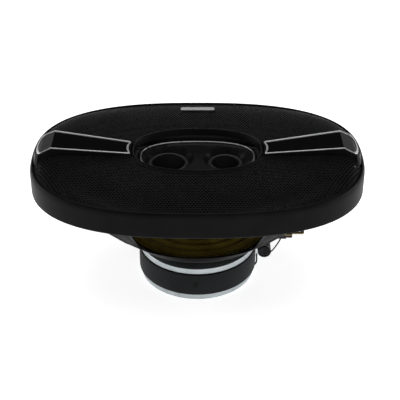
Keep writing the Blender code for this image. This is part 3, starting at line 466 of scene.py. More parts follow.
def moulding():
    """Satin black moulding of the grille."""
    return surface("satin_moulding", rgb(settings("grille").plastic),
                   grained(1400.0, 0.00004, 0.36, 0.48),
                   Specular_IOR_Level=0.05)


def powder_coat():
    """Powder coat of the grille mesh."""
    return surface("mesh_powder_coat", rgb(settings("grille").mesh), grained(2200.0, 0.00003, 0.44, 0.58),
                   Specular_IOR_Level=0.05)


def gloss_black():
    """Piano black of the arm inserts."""
    return surface("piano_black", rgb(settings("grille").insert), glossy, Specular_IOR_Level=0.12)


def trim_silver():
    """Satin silver of the arm trims."""
    return surface("satin_silver", rgb(settings("grille").trim), brushed((40.0, 900.0, 900.0)),
                   Metallic=0.6)


def badge_silver():
    """Lighter silver of the blank badge."""
    return surface("badge_silver", rgb(settings("grille").badge), brushed((60.0, 1500.0, 900.0)),
                   Metallic=0.85)


def plating():
    """Zinc plating of the steel plates."""
    return surface("zinc_plating", rgb(settings("motor").plate), zinc, Metallic=0.92)


def sintered():
    """Ferrite of the magnet."""
    return surface("sintered_ferrite", rgb(settings("motor").ferrite), ferrite, Specular_IOR_Level=0.12)


def basket_paint():
    """Semi-gloss paint of the basket."""
    return surface("basket_paint", rgb(settings("motor").basket), grained(700.0, 0.00008, 0.34, 0.50),
                   Specular_IOR_Level=0.07)


def fastener_steel():
    """Plated steel of rivets and screws."""
    return surface("fastener_steel", rgb(settings("motor").steel),
                   brushed((400.0, 400.0, 60.0), 0.25, 0.45),
                   Metallic=1.0)


def spider_cloth():
    """Yellow treated cloth."""
    return surface("spider_cloth", rgb(settings("cone").spider),
                   woven(900.0, 0.00016, (0.16, 0.11, 0.012)),
                   Specular_IOR_Level=0.08)


def cone_fibre():
    """Pressed fibre of the cone."""
    return surface("cone_fibre", rgb(settings("cone").cone), fibrous)


def rubber():
    """Black rubber of the surrounds and the gasket."""
    return surface("black_rubber", rgb(settings("cone").rubber),
                   grained(1800.0, 0.00003, 0.48, 0.66, wear=1.9))


def former_film():
    """Amber film of the former."""
    return surface("former_film", rgb(settings("cone").former), brushed((300.0, 300.0, 30.0), 0.25, 0.4),
                   Coat_Weight=0.3)


def enamelled_copper():
    """Enamelled copper wire."""
    return surface("enamelled_copper", rgb(settings("cone").copper),
                   brushed((80.0, 80.0, 1500.0), 0.18, 0.32),
                   Metallic=1.0, Coat_Weight=0.5)


def pod_plastic():
    """Satin plastic of the pod."""
    return surface("pod_plastic", rgb(settings("pod").housing), grained(1600.0, 0.00003, 0.24, 0.35),
                   Specular_IOR_Level=0.10)


def ring_silver():
    """Silver of the pod's ring."""
    return surface("ring_silver", rgb(settings("pod").ring), brushed((200.0, 200.0, 900.0)), Metallic=1.0)


def dome_cloth():
    """Coated cloth of the domes."""
    return surface("dome_cloth", rgb(settings("pod").dome), woven(1500.0, 0.00005,
                                                                  rgb(settings("pod").dome)),
                   Specular_IOR_Level=0.04)


def fibre_board():
    """Pressed board of the terminals."""
    return surface("fibre_board", rgb(settings("wiring").board), fibrous)


def plated_brass():
    """Plated blades."""
    return surface("plated_brass", rgb(settings("wiring").brass), brushed((60.0, 900.0, 900.0)),
                   Metallic=1.0)


def vinyl():
    """Black sleeve."""
    return surface("black_sleeve", rgb(settings("wiring").sleeve), grained(600.0, 0.00003, 0.28, 0.42),
                   Specular_IOR_Level=0.15)


def tinned_braid():
    """Braid of the tinsel leads."""
    return surface("tinned_braid", rgb(settings("wiring").braid), braided, Metallic=0.9)


def foil_tape():
    """Bright foil tape."""
    return surface("foil_tape", rgb(settings("wiring").foil), crumpled, Metallic=1.0)


# ---------------------------------------------------------------- shape helpers

def to_mesh(shape, name):
    """Turn a bmesh into a mesh whose faces point outwards."""
    bmesh.ops.recalc_face_normals(shape, faces=shape.faces)
    mesh = bpy.data.meshes.new(name)
    shape.to_mesh(mesh)
    shape.free()
    return mesh


def oval_point(a, b, power, turn):
    """Point of a superellipse at a given turn."""
    c, s = math.cos(turn), math.sin(turn)
    reach = (abs(c) ** power + abs(s) ** power) ** (-1.0 / power)
    return a * c * reach, b * s * reach


def loft(name, rings, closed, steps=OVAL_STEPS, capped=True, moved=None):
    """Loft through ovals (a, b, z, power), closed back to the first oval, or open with caps or without."""
    shape = bmesh.new()
    loops = []
    for a, b, z, power in rings:
        loop = []
        for i in range(steps):
            turn = 2 * math.pi * i / steps
            x, y = oval_point(a, b, power, turn)
            if moved:
                x, y = moved(x, y, z, turn)
            loop.append(shape.verts.new((x * MM, y * MM, z * MM)))
        loops.append(loop)
    if closed:
        loops.append(loops[0])
    for lower, upper in zip(loops, loops[1:]):
        for i in range(steps):
            j = (i + 1) % steps
            shape.faces.new((lower[i], lower[j], upper[j], upper[i]))
    if not closed and capped:
        shape.faces.new(loops[0])
        shape.faces.new(loops[-1])
    return to_mesh(shape, name)


def lathe(name, profile, centre=(0.0, 0.0), steps=ROUND_STEPS, closed=None):
    """Turned shape from (radius, height) points: solid if the profile ends on the axis, or else a ring."""
    shape = bmesh.new()
    solid = profile[0][0] == 0 and profile[-1][0] == 0
    closed = not solid if closed is None else closed
    loops = []
    for r, z in profile:
        if r == 0:
            loops.append([shape.verts.new((centre[0] * MM, centre[1] * MM, z * MM))])
            continue
        turns = [2 * math.pi * i / steps for i in range(steps)]
        loops.append([
            shape.verts.new(((centre[0] + r * math.cos(t)) * MM, (centre[1] + r * math.sin(t)) * MM,
                             z * MM))
            for t in turns
        ])
    if closed:
        loops.append(loops[0])
    for lower, upper in zip(loops, loops[1:]):
        for i in range(steps):
            j = (i + 1) % steps
            if len(lower) == 1:
                shape.faces.new((lower[0], upper[j], upper[i]))
            elif len(upper) == 1:
                shape.faces.new((lower[i], lower[j], upper[0]))
            else:
                shape.faces.new((lower[i], lower[j], upper[j], upper[i]))
    return to_mesh(shape, name)


def arc(centre, radius, start, end, count):
    """Points of an arc in a profile, angles in degrees."""
    turns = (math.radians(start + (end - start) * i / count) for i in range(count + 1))
    return [(centre[0] + radius * math.cos(t), centre[1] + radius * math.sin(t)) for t in turns]


def rounded(points, radius, count=3, closed=True):
    """Polygon whose corners are rounded, as a list of points."""
    result = []
    total = len(points)
    for i, here in enumerate(points):
        if not closed and i in (0, total - 1):
            result.append(tuple(here))
            continue
        before, corner, after = (Vector(points[k % total]) for k in (i - 1, i, i + 1))
        back, ahead = before - corner, after - corner
        reach = min(radius, back.length * 0.45, ahead.length * 0.45)
        start, end = corner + back.normalized() * reach, corner + ahead.normalized() * reach
        for k in range(count + 1):
            t = k / count
            spot = start * (1 - t) ** 2 + corner * 2 * t * (1 - t) + end * t ** 2
            result.append(tuple(spot))
    return result


def plate(name, outline, low, high):
    """Flat plate from an outline of (x, y) points."""
    shape = bmesh.new()
    floor = [shape.verts.new((x * MM, y * MM, low * MM)) for x, y in outline]
    roof = [shape.verts.new((x * MM, y * MM, high * MM)) for x, y in outline]
    shape.faces.new(floor[::-1])
    shape.faces.new(roof)
    for i in range(len(outline)):
        j = (i + 1) % len(outline)
        shape.faces.new((floor[i], floor[j], roof[j], roof[i]))
    return to_mesh(shape, name)


def smooth_route(points, per_span):
    """Catmull-Rom curve through hand-placed points."""
    ends = [points[0], *points, points[-1]]
    route = []
    for p0, p1, p2, p3 in zip(ends, ends[1:], ends[2:], ends[3:]):
        for i in range(per_span):
            t = i / per_span
            route.append(Vector([
                0.5 * (2 * b + (c - a) * t + (2 * a - 5 * b + 4 * c - d) * t * t
                       + (3 * b - a - 3 * c + d) * t ** 3)
                for a, b, c, d in zip(p0, p1, p2, p3)
            ]))
    route.append(Vector(points[-1]))
    return route


def tube(name, points, radius, per_span=8, sides=16):
    """Round wire with rounded ends along a smooth route."""
    route = smooth_route(points, per_span)
    shape = bmesh.new()
    loops = []
    across = Vector((0.3, 0.5, 0.8))
    count = len(route)
    for i, spot in enumerate(route):
        ahead = (route[min(i + 1, count - 1)] - route[max(i - 1, 0)]).normalized()
        across = (across - ahead * across.dot(ahead)).normalized()
        up = ahead.cross(across)
        size = radius * (0.6 if i in (0, count - 1) else 1.0)
        loop = []
        for k in range(sides):
            turn = 2 * math.pi * k / sides
            offset = across * (size * math.cos(turn)) + up * (size * math.sin(turn))
            loop.append(shape.verts.new((spot + offset) * MM))
        loops.append(loop)
    for lower, upper in zip(loops, loops[1:]):
        for k in range(sides):
            j = (k + 1) % sides
            shape.faces.new((lower[k], lower[j], upper[j], upper[k]))
    shape.faces.new(loops[0])
    shape.faces.new(loops[-1])
    return to_mesh(shape, name)


def holder(name, mesh):
    """Object linked to the scene."""
    item = bpy.data.objects.new(name, mesh)
    bpy.context.scene.collection.objects.link(item)
    return item


def evaluated(item, name):
    """Plain mesh of an object with its modifiers applied. The object is removed."""
    graph = bpy.context.evaluated_depsgraph_get()
    mesh = bpy.data.meshes.new_from_object(item.evaluated_get(graph))
    mesh.name = name
    bpy.data.objects.remove(item)
    return mesh


def carved(mesh, *steps):
    """Mesh joined with, cut or limited by others: steps are (operation, mesh)."""
    name = mesh.name
    item = holder(name, mesh)
    tools = []
    for operation, other in steps:
        tool = holder("tool", other)
        tools.append(tool)
        step = item.modifiers.new(operation, "BOOLEAN")
        step.operation = operation
        step.solver = "EXACT"
        step.object = tool
    result = evaluated(item, name)
    for tool in tools:
        bpy.data.objects.remove(tool)
    result.materials.clear()
    return result


def joined(name, *meshes):
    """Several meshes in one, as separate shells."""
    shape = bmesh.new()
    for mesh in meshes:
        shape.from_mesh(mesh)
    result = bpy.data.meshes.new(name)
    shape.to_mesh(result)
    shape.free()
    return result


def box_mesh(low, high):
    """Plain box, used as a cutter."""
    outline = [(low[0], low[1]), (high[0], low[1]), (high[0], high[1]), (low[0], high[1])]
    return plate("box", outline, low[2], high[2])


def put(name, mesh, finish, body, nodes, sharp=35.0, edge=0.0, segments=2, wall=0.0, side=0.0):
    """Finish a piece: material, wall and edge modifiers, shading, and its place in the frame."""
    mesh.materials.clear()
    mesh.materials.append(finish)
    mesh.shade_smooth()
    mesh.set_sharp_from_angle(angle=math.radians(sharp))
    piece = holder(name, mesh)
    if wall:
        skin = piece.modifiers.new("wall", "SOLIDIFY")
        skin.thickness = wall * MM
        skin.offset = side
    if edge:
        soften = piece.modifiers.new("edge", "BEVEL")
        soften.width = edge * MM
        soften.segments = segments
        soften.limit_method = "ANGLE"
        soften.angle_limit = math.radians(40)
        soften.use_clamp_overlap = True
        soften.harden_normals = True
    if nodes:
        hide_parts(*nodes)
    if body:
        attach(piece, body)
    return piece


def bend_between(piece, weight):
    """Flexible piece between two bodies: weight(x, y, z) in millimetres is its share of the moving body."""
    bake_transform(piece)
    for vertex in piece.data.vertices:
        t = min(1.0, max(0.0, weight(*(vertex.co / MM))))


# ---------------------------------------------------------------- geometry node helpers

def node_group(name, inputs):
    """Geometry node group with a geometry input, named inputs and a geometry output."""
    group = bpy.data.node_groups.new(name, "GeometryNodeTree")
    group.interface.new_socket("Geometry", in_out="INPUT", socket_type="NodeSocketGeometry")
    for label, kind in inputs:
        group.interface.new_socket(label, in_out="INPUT", socket_type=kind)
    group.interface.new_socket("Geometry", in_out="OUTPUT", socket_type="NodeSocketGeometry")
    sketch = Sketch(group)
    start = sketch.add("NodeGroupInput").outputs
    return group, sketch, start


def end_group(sketch, geometry, finish):
    """End of a tree: instances made real, and the material set."""
    real = sketch.add("GeometryNodeRealizeInstances", {0: geometry}).outputs[0]
    painted = sketch.add("GeometryNodeSetMaterial", {"Geometry": real, "Material": finish}).outputs[0]
    sketch.add("NodeGroupOutput", {0: painted})


def grown(name, mesh, group, **values):
    """Mesh made by a node group from a base mesh. Values are keyed by input name, with _ for a space."""
    item = holder(name, mesh)
    step = item.modifiers.new(group.name, "NODES")
    step.node_group = group
    for socket in group.interface.items_tree:
        key = socket.name.replace(" ", "_")
        if socket.in_out == "INPUT" and key in values:
            step[socket.identifier] = values[key]
    return evaluated(item, name)


def perforation_group():
    """Hexagonal cells with holes, laid over a guide sheet where the sheet's room is at least the margin."""
    group, sketch, start = node_group("perforated_sheet", (
        ("Pitch", "NodeSocketFloat"), ("Hole Share", "NodeSocketFloat"), ("Width", "NodeSocketFloat"),
        ("Depth", "NodeSocketFloat"), ("Middle", "NodeSocketVector"), ("Margin", "NodeSocketFloat"),
        ("Material", "NodeSocketMaterial"),
    ))
    pitch = start["Pitch"]
    row = sketch.maths("MULTIPLY", pitch, math.sqrt(3) / 2)
    columns = sketch.maths("ROUND", sketch.maths("DIVIDE", start["Width"], pitch))
    rows = sketch.maths("ROUND", sketch.maths("DIVIDE", start["Depth"], row))
    grid = sketch.add("GeometryNodeMeshGrid", {
        "Size X": sketch.maths("MULTIPLY", sketch.maths("SUBTRACT", columns, 1.0), pitch),
        "Size Y": sketch.maths("MULTIPLY", sketch.maths("SUBTRACT", rows, 1.0), row),
        "Vertices X": columns, "Vertices Y": rows,
    }).outputs[0]
    # Every second row moves half a pitch along
    place = sketch.add("GeometryNodeInputPosition").outputs[0]
    spot = sketch.add("ShaderNodeSeparateXYZ", {0: place}).outputs
    number = sketch.maths("ROUND", sketch.maths("DIVIDE", spot[1], row))
    odd = sketch.maths("PINGPONG", number, 1.0)
    shift = sketch.add("ShaderNodeCombineXYZ", {0: sketch.maths("MULTIPLY", odd,
                                                                sketch.maths("MULTIPLY", pitch, 0.5))})
    offset = sketch.add("ShaderNodeVectorMath", {0: shift.outputs[0], 1: start["Middle"]},
                        operation="ADD").outputs[0]
    lattice = sketch.add("GeometryNodeSetPosition", {"Geometry": grid, "Offset": offset}).outputs[0]

    def cast(attribute):
        """Ray down onto the guide sheet."""
        high = sketch.add("ShaderNodeVectorMath", {0: sketch.add("GeometryNodeInputPosition").outputs[0],
                                                   1: (0.0, 0.0, 1.0)}, operation="ADD").outputs[0]
        ray = sketch.add("GeometryNodeRaycast", {
            "Target Geometry": start["Geometry"], "Source Position": high,
            "Ray Direction": (0.0, 0.0, -1.0),
            "Ray Length": 2.0,
        })
        if attribute:
            named = sketch.add("GeometryNodeInputNamedAttribute", {"Name": attribute}, data_type="FLOAT")
            sketch.tree.links.new(named.outputs[0], ray.inputs["Attribute"])
        return ray

    room = cast("room").outputs["Attribute"]
    crowded = sketch.add("FunctionNodeCompare", {0: room, 1: start["Margin"]}, data_type="FLOAT",
                         operation="LESS_THAN").outputs[0]
    kept = sketch.add("GeometryNodeDeleteGeometry", {"Geometry": lattice,
                                                     "Selection": crowded}).outputs[0]
    # One cell: a hexagon whose middle is pulled in and removed
    radius = sketch.maths("DIVIDE", pitch, math.sqrt(3))
    hexagon = sketch.add("GeometryNodeMeshCircle", {"Vertices": 6, "Radius": radius},
                         fill_type="NGON").outputs[0]
    turned = sketch.add("GeometryNodeTransform", {"Geometry": hexagon,
                                                  "Rotation": (0.0, 0.0, math.pi / 6)}).outputs[0]
    pulled = sketch.add("GeometryNodeExtrudeMesh", {"Mesh": turned, "Offset Scale": 0.0})
    scaled = sketch.add("GeometryNodeScaleElements", {
        "Geometry": pulled.outputs["Mesh"], "Selection": pulled.outputs["Top"],
        "Scale": start["Hole Share"],
    }).outputs[0]
    cell = sketch.add("GeometryNodeDeleteGeometry", {"Geometry": scaled,
                                                     "Selection": pulled.outputs["Top"]},
                      domain="FACE", mode="ALL").outputs[0]
    cells = sketch.add("GeometryNodeInstanceOnPoints", {"Points": kept, "Instance": cell}).outputs[0]
    real = sketch.add("GeometryNodeRealizeInstances", {0: cells}).outputs[0]
    welded = sketch.add("GeometryNodeMergeByDistance", {"Geometry": real, "Distance": 0.00003}).outputs[0]
    landed = cast(None)
    sheet = sketch.add("GeometryNodeSetPosition", {
        "Geometry": welded, "Selection": landed.outputs["Is Hit"],
        "Position": landed.outputs["Hit Position"],
    }).outputs[0]
    end_group(sketch, sheet, start["Material"])
    return group


def corrugation_group():
    """Concentric waves on a flat ring between two radii."""
    group, sketch, start = node_group("corrugated_ring", (
        ("Pitch", "NodeSocketFloat"), ("Height", "NodeSocketFloat"), ("Inner", "NodeSocketFloat"),
        ("Outer", "NodeSocketFloat"), ("Material", "NodeSocketMaterial"),
    ))
    place = sketch.add("GeometryNodeInputPosition").outputs[0]
    flat = sketch.add("ShaderNodeVectorMath", {0: place, 1: (1.0, 1.0, 0.0)},
                      operation="MULTIPLY").outputs[0]
    radius = sketch.add("ShaderNodeVectorMath", {0: flat}, operation="LENGTH").outputs["Value"]
    past = sketch.maths("SUBTRACT", radius, start["Inner"])
    turns = sketch.maths("DIVIDE", past, start["Pitch"])
    wave = sketch.maths("COSINE", sketch.maths("MULTIPLY", turns, 2 * math.pi))
    # The waves fade out over half a pitch at both edges
    fade_in = sketch.maths("MULTIPLY", turns, 2.0)
    left = sketch.maths("DIVIDE", sketch.maths("SUBTRACT", start["Outer"], radius), start["Pitch"])
    fade = sketch.maths("MINIMUM", sketch.maths("MINIMUM", fade_in, sketch.maths("MULTIPLY", left, 2.0)),
                        1.0)
    amount = sketch.maths("MULTIPLY", sketch.maths("MAXIMUM", fade, 0.0), start["Height"])
    lift = sketch.add("ShaderNodeCombineXYZ", {2: sketch.maths("MULTIPLY", wave, amount)}).outputs[0]
    waved = sketch.add("GeometryNodeSetPosition", {"Geometry": start["Geometry"],
                                                   "Offset": lift}).outputs[0]
    end_group(sketch, waved, start["Material"])
    return group


def winding_group():
    """Stack of wire turns: one ring repeated up the former."""
    group, sketch, start = node_group("wire_winding", (
        ("Radius", "NodeSocketFloat"), ("Wire", "NodeSocketFloat"), ("Low", "NodeSocketFloat"),
        ("High", "NodeSocketFloat"), ("Material", "NodeSocketMaterial"),
    ))
    turns = sketch.maths("ROUND", sketch.maths("DIVIDE", sketch.maths("SUBTRACT", start["High"],
                                                                      start["Low"]),
                                               start["Wire"]))
    low = sketch.add("ShaderNodeCombineXYZ", {2: start["Low"]}).outputs[0]
    step = sketch.add("ShaderNodeCombineXYZ", {2: start["Wire"]}).outputs[0]
    line = sketch.add("GeometryNodeMeshLine", {"Count": turns, "Start Location": low,
                                               "Offset": step}).outputs[0]
    ring = sketch.add("GeometryNodeCurvePrimitiveCircle", {"Resolution": 96,
                                                           "Radius": start["Radius"]}).outputs[0]
    half = sketch.maths("MULTIPLY", start["Wire"], 0.5)
    section = sketch.add("GeometryNodeCurvePrimitiveCircle", {"Resolution": 8, "Radius": half}).outputs[0]
    wire = sketch.add("GeometryNodeCurveToMesh", {"Curve": ring, "Profile Curve": section}).outputs[0]
    stack = sketch.add("GeometryNodeInstanceOnPoints", {"Points": line, "Instance": wire}).outputs[0]
    end_group(sketch, stack, start["Material"])
    return group


# ---------------------------------------------------------------- motor

def make_motor():
    """Back plate with pole and cable groove, ferrite, top plate and the glue between them."""
    cut = settings("motor").chamfer / MM
    back_r, top_r, magnet_r = BACK_HIGH.x, TOP_HIGH.x, MAGNET_HIGH.x
    pole_r, bore_r, pole_top, plate_top = 15.8, 5.2, BACK_HIGH.z, 5.0
    profile = [
        (back_r, plate_top), (back_r, 0.0), (bore_r, 0.0), (bore_r, pole_top), (pole_r, pole_top),
        (pole_r, plate_top),
    ]
    body = lathe("back_plate", rounded(profile, cut, 3))
    groove = plate("groove", [(0, -1.2), (60, -1.2), (60, 1.2), (0, 1.2)], -1.0, 1.95)
    body = carved(body, ("DIFFERENCE", groove))
    put("back_plate", body, plating(), "root", ["back_plate_and_pole"], sharp=30)

    low, high = MAGNET_LOW.z, MAGNET_HIGH.z
    profile = [(magnet_r, high), (magnet_r, low), (24.0, low), (24.0, high)]
    put("ferrite_ring", lathe("ferrite_ring", rounded(profile, 0.8, 3)), sintered(), "root",
        ["magnet_ring"])

    plate_low, plate_high = TOP_LOW.z, TOP_HIGH.z
    profile = [(top_r, plate_high), (top_r, plate_low), (17.9, plate_low), (17.9, plate_high)]
    put("front_plate", lathe("front_plate", rounded(profile, cut * 0.8, 3)), plating(), "root",
        ["top_plate"])

    glue = []
    for middle, reach in ((5.15, back_r - 0.9), (23.85, top_r - 0.7)):
        glue.append(lathe("glue", arc((reach - 0.6, middle), 0.45, 90, -90, 6) + [(25.0, middle - 0.12),
                                                                                  (25.0, middle + 0.12)]))
    put("magnet_glue", joined("magnet_glue", *glue), rubber(), "root", [])


# ---------------------------------------------------------------- basket

LEG_TURNS = [math.radians(turn) for turn in (52, 128, 232, 308)]


def make_basket():
    """Pressed basket: floor, cup, shelf, legs with pressed ribs, windows, landing, flange and bracket."""
    floor_top = FLOOR_Z + SHELL + 0.2

    def pressed(x, y, z, turn):
        """Ribs pressed into the legs between the shelf and the landing."""
        rise = max(0.0, 1.0 - abs(z - 62.0) / 13.0)
        depth = 0.0
        for leg in LEG_TURNS:
            off = abs((turn - leg + math.pi) % (2 * math.pi) - math.pi)
            depth = max(depth, 1.0 - (off / 0.13) ** 2)
        push = 1.6 * min(1.0, 3.0 * rise) * min(1.0, 2.5 * max(0.0, depth))
        size = math.hypot(x, y)
        return x * (1 - push / size), y * (1 - push / size)

    def wall(first, last, count):
        """Rings between two ovals, so that the ribs have somewhere to start and end."""
        result = []
        for i in range(count + 1):
            t = i / count
            result.append(tuple(a + (b - a) * t for a, b in zip(first, last)))
        return result

    outer = [
        (20.0, 20.0, FLOOR_Z, 2.0), (38.1, 38.1, FLOOR_Z, 2.0), (38.6, 38.6, FLOOR_Z + 0.5, 2.0),
        (43.6, 43.6, SHELF_Z - 4.6, 2.0), (44.4, 44.4, SHELF_Z - 3.5, 2.0),
        (46.0, 46.0, SHELF_Z - 3.0, 2.0),
        (SHELF_R - 1.0, SHELF_R - 1.0, SHELF_Z - SHELL - 0.1, 2.0),
        (SHELF_R + 1.2, SHELF_R + 1.2, SHELF_Z - 0.8, 2.0),
        *wall((SHELF_R + 2.5, SHELF_R + 2.5, SHELF_Z + 1.0, 2.0), (72.5, 60.3, 50.5, 2.1), 3),
        *wall((72.5, 60.3, 50.5, 2.1), (88.0, 60.8, 60.0, CUT_POWER), 4)[1:],
        *wall((88.0, 60.8, 60.0, CUT_POWER), (101.0, 66.5, 74.0, CUT_POWER), 6)[1:],
        (107.8, 73.3, 78.6, CUT_POWER), (CUT_A, CUT_B, 79.8, CUT_POWER),
        (CUT_A, CUT_B, SEAT_Z - 0.4, CUT_POWER),
        (CUT_A + 0.5, CUT_B + 0.5, SEAT_Z, CUT_POWER),
        (FLANGE_A - 0.3, FLANGE_B - 0.3, SEAT_Z, RIM_POWER - 0.05),
        (FLANGE_A, FLANGE_B, SEAT_Z + 0.4, RIM_POWER - 0.05),
        (FLANGE_A, FLANGE_B, SEAT_Z + 1.1, RIM_POWER - 0.05),
        (FLANGE_A - 0.3, FLANGE_B - 0.3, SEAT_Z + SHELL, RIM_POWER - 0.05),
    ]
    inner = [
        (CUT_A - 1.4, CUT_B - 1.4, SEAT_Z + SHELL, CUT_POWER),
        (CUT_A - 1.5, CUT_B - 1.5, 80.9, CUT_POWER),
        (CUT_A - 1.8, CUT_B - 1.8, 80.7, CUT_POWER), (102.2, 67.7, 80.7, CUT_POWER),
        (101.6, 67.1, 80.2, CUT_POWER),
        *wall((99.2, 64.9, 74.4, CUT_POWER), (86.2, 59.3, 60.8, CUT_POWER), 6),
        *wall((86.2, 59.3, 60.8, CUT_POWER), (70.8, 58.9, 51.4, 2.1), 4)[1:],
        *wall((70.8, 58.9, 51.4, 2.1), (SHELF_R + 1.1, SHELF_R + 1.1, SHELF_Z + 1.6, 2.0), 3)[1:],
        (SHELF_R - 0.6, SHELF_R - 0.6, SHELF_Z, 2.0), (43.4, 43.4, SHELF_Z - 1.9, 2.0),
        (42.2, 42.2, SHELF_Z - 3.0, 2.0),
        (37.4, 37.4, floor_top, 2.0), (20.0, 20.0, floor_top, 2.0),
    ]
    shell = loft("basket", outer + inner, True, moved=pressed)
    steps = [("UNION", box_mesh((50.0, -24.0, 42.2), (67.5, -10.0, 43.6)))]
    windows = (
        ([(-42.5, 49.1), (42.5, 49.1), (50.0, 75.5), (-50.0, 75.5)], True, 100.0),
        ([(-28.0, 47.6), (28.0, 47.6), (31.0, 75.5), (-31.0, 75.5)], False, 130.0),
    )
    for corners, along_y, reach in windows:
        opening = plate("window", rounded(corners, 6.0, 8), -reach, reach)
        opening.transform(Matrix.Rotation(math.radians(90), 4, "X"))
        if not along_y:
            opening.transform(Matrix.Rotation(math.radians(90), 4, "Z"))
        steps.append(("DIFFERENCE", opening))
    for sx, sy in ((1, 1), (-1, 1), (-1, -1), (1, -1)):
        hole = lathe("hole", [(0, SEAT_Z - 3), (2.3, SEAT_Z - 3), (2.3, SEAT_Z + 5), (0, SEAT_Z + 5)],
                     (82.5 * sx, 57.5 * sy), 32)
        steps.append(("DIFFERENCE", hole))
    put("pressed_basket", carved(shell, *steps), basket_paint(), "root",
        ["basket_cup", "basket_legs", "basket_flange"], sharp=38)


# ---------------------------------------------------------------- cone, coil, spider, surround

def cone_rings(offset):
    """Ovals of the cone from its neck to its edge, moved down by an offset."""
    neck_r, neck_z = 17.25, CONE_LOW.z + 0.4
    edge_a, edge_b, edge_z = CONE_HIGH.x - 3.0, CONE_HIGH.y - 3.0, CONE_HIGH.z - 0.4
    rings = []
    for i in range(25):
        t = i / 24
        rise = t ** 0.86
        rings.append((
            neck_r + (edge_a - neck_r) * t, neck_r + (edge_b - neck_r) * t,
            neck_z + (edge_z - neck_z) * rise - offset, 2.0 + (CUT_POWER - 2.0) * t,
        ))
    rings.append((CONE_HIGH.x - 0.2, CONE_HIGH.y - 0.2, edge_z - offset, CUT_POWER))
    return rings


def make_cone():
    """Cone with its edge flange and the glue fillet round its neck."""
    rings = cone_rings(-0.35) + cone_rings(0.35)[::-1]
    put("pressed_cone", loft("pressed_cone", rings, True, 144), cone_fibre(), "cone_assembly", ["cone"])
    neck_z = CONE_LOW.z
    fillet = [(FORMER_HIGH.x + 0.05, neck_z + 2.2), (FORMER_HIGH.x + 0.6, neck_z + 1.3),
              (19.2, neck_z + 1.6),
              (18.2, neck_z + 0.9), (FORMER_HIGH.x + 0.5, neck_z + 0.1),
              (FORMER_HIGH.x + 0.05, neck_z + 0.1)]
    put("neck_glue", lathe("neck_glue", fillet), rubber(), "cone_assembly", [])


def make_voice_coil():
    """Former of thin film and a wound coil on it."""
    inner, outer = FORMER_HIGH.x - 0.25, FORMER_HIGH.x
    profile = [(outer, FORMER_HIGH.z), (outer, FORMER_LOW.z), (inner, FORMER_LOW.z),
               (inner, FORMER_HIGH.z)]
    put("coil_former", lathe("coil_former", profile), former_film(), "cone_assembly",
        ["voice_coil_former"])
    low, high = box_mm("voice_coil_winding")
    wire = settings("cone").wire / MM
    finish = enamelled_copper()
    seed = bpy.data.meshes.new("winding_seed")
    turns = grown("wound_coil", seed, winding_group(), Radius=(high.x - wire / 2) * MM, Wire=wire * MM,
                  Low=(low.z + wire / 2) * MM, High=(high.z - wire / 2) * MM, Material=finish)
    put("wound_coil", turns, finish, "cone_assembly", ["voice_coil_winding"])


def make_spider():
    """Corrugated yellow disc, with a collar on the former and a flat lip on the shelf."""
    conf = settings("cone")
    lip_z = SHELF_Z + 0.55
    inner, outer = 19.0, 50.5
    profile = [(FORMER_HIGH.x + 0.3, SPIDER_Z + 1.6), (FORMER_HIGH.x + 0.5, SPIDER_Z + 0.5),
               (18.0, SPIDER_Z)]
    count = 84
    for i in range(count + 1):
        profile.append((inner + (outer - inner) * i / count, SPIDER_Z))
    profile += [(51.2, (SPIDER_Z + lip_z) / 2), (51.8, lip_z), (53.5, lip_z), (SPIDER_R, lip_z)]
    flat = lathe("spider_flat", profile, steps=ROUND_STEPS, closed=False)
    waved = grown("spider_disc", flat, corrugation_group(), Pitch=conf.wave_pitch,
                  Height=conf.wave_height,
                  Inner=inner * MM, Outer=outer * MM, Material=spider_cloth())
    piece = put("spider_disc", waved, spider_cloth(), None, ["spider"], sharp=60,
                wall=0.45)
    bend_between(piece, lambda x, y, z: (52.0 - math.hypot(x, y)) / 32.0)


def make_surround():
    """Rubber half roll between the cone and the basket, and the gasket over its outer lip."""
    shift = CONE_HIGH.x - CONE_HIGH.y
    lip = SURROUND_LOW.z + 0.35
    rings = [(86.4, 86.4 - shift, lip, CUT_POWER), (89.4, 89.4 - shift, lip, CUT_POWER)]
    for r, z in arc((96.0, lip), 6.0, 180, 0, 18):
        rings.append((r, r - shift, lip + (z - lip) * 7.0 / 6.0, CUT_POWER))
    rings += [(102.8, 102.8 - shift, lip, CUT_POWER), (106.6, 106.6 - shift, lip, CUT_POWER)]
    roll = loft("half_roll_surround", rings, False, capped=False)
    piece = put("half_roll_surround", roll, rubber(), None, ["surround"], sharp=70, wall=0.65)

    def share(x, y, z):
        """1 at the cone's edge and 0 at the basket's landing."""
        outside = oval_reach(x, y, 102.0, 102.0 - shift, CUT_POWER)
        inside = oval_reach(x, y, 90.0, 90.0 - shift, CUT_POWER)
        return (1.0 - outside) / max(1e-6, inside - outside)

    bend_between(piece, share)
    low, high = box_mm("surround_gasket")
    inner_a, outer_a = 103.4, high.x
    profile = rounded([(outer_a, low.z), (outer_a, high.z), (inner_a, high.z), (inner_a, low.z)], 0.6, 3)
    rings = [(a, a - shift, z, CUT_POWER) for a, z in profile]
    put("gasket_ring", loft("gasket_ring", rings, True), rubber(), "root", ["surround_gasket"])


def oval_reach(x, y, a, b, power):
    """How far a point lies out in an oval: 1 on its outline."""
    return ((abs(x) / a) ** power + (abs(y) / b) ** power) ** (1.0 / power)


# ---------------------------------------------------------------- fasteners

def make_fasteners():
    """Domed rivets in the basket, and the heads of the board's and terminals' rivets."""
    for i in range(1, 5):
        rivet(f"domed_rivet_{i}", f"basket_rivet_{i}", 3.0, FLOOR_Z + SHELL + 0.5)
    rivet("domed_board_rivet", "board_rivet", 2.4, 45.6)
    rivet("domed_positive_rivet", "positive_terminal_rivet", 1.8, 46.7)
    rivet("domed_negative_rivet", "negative_terminal_rivet", 1.8, 46.7)


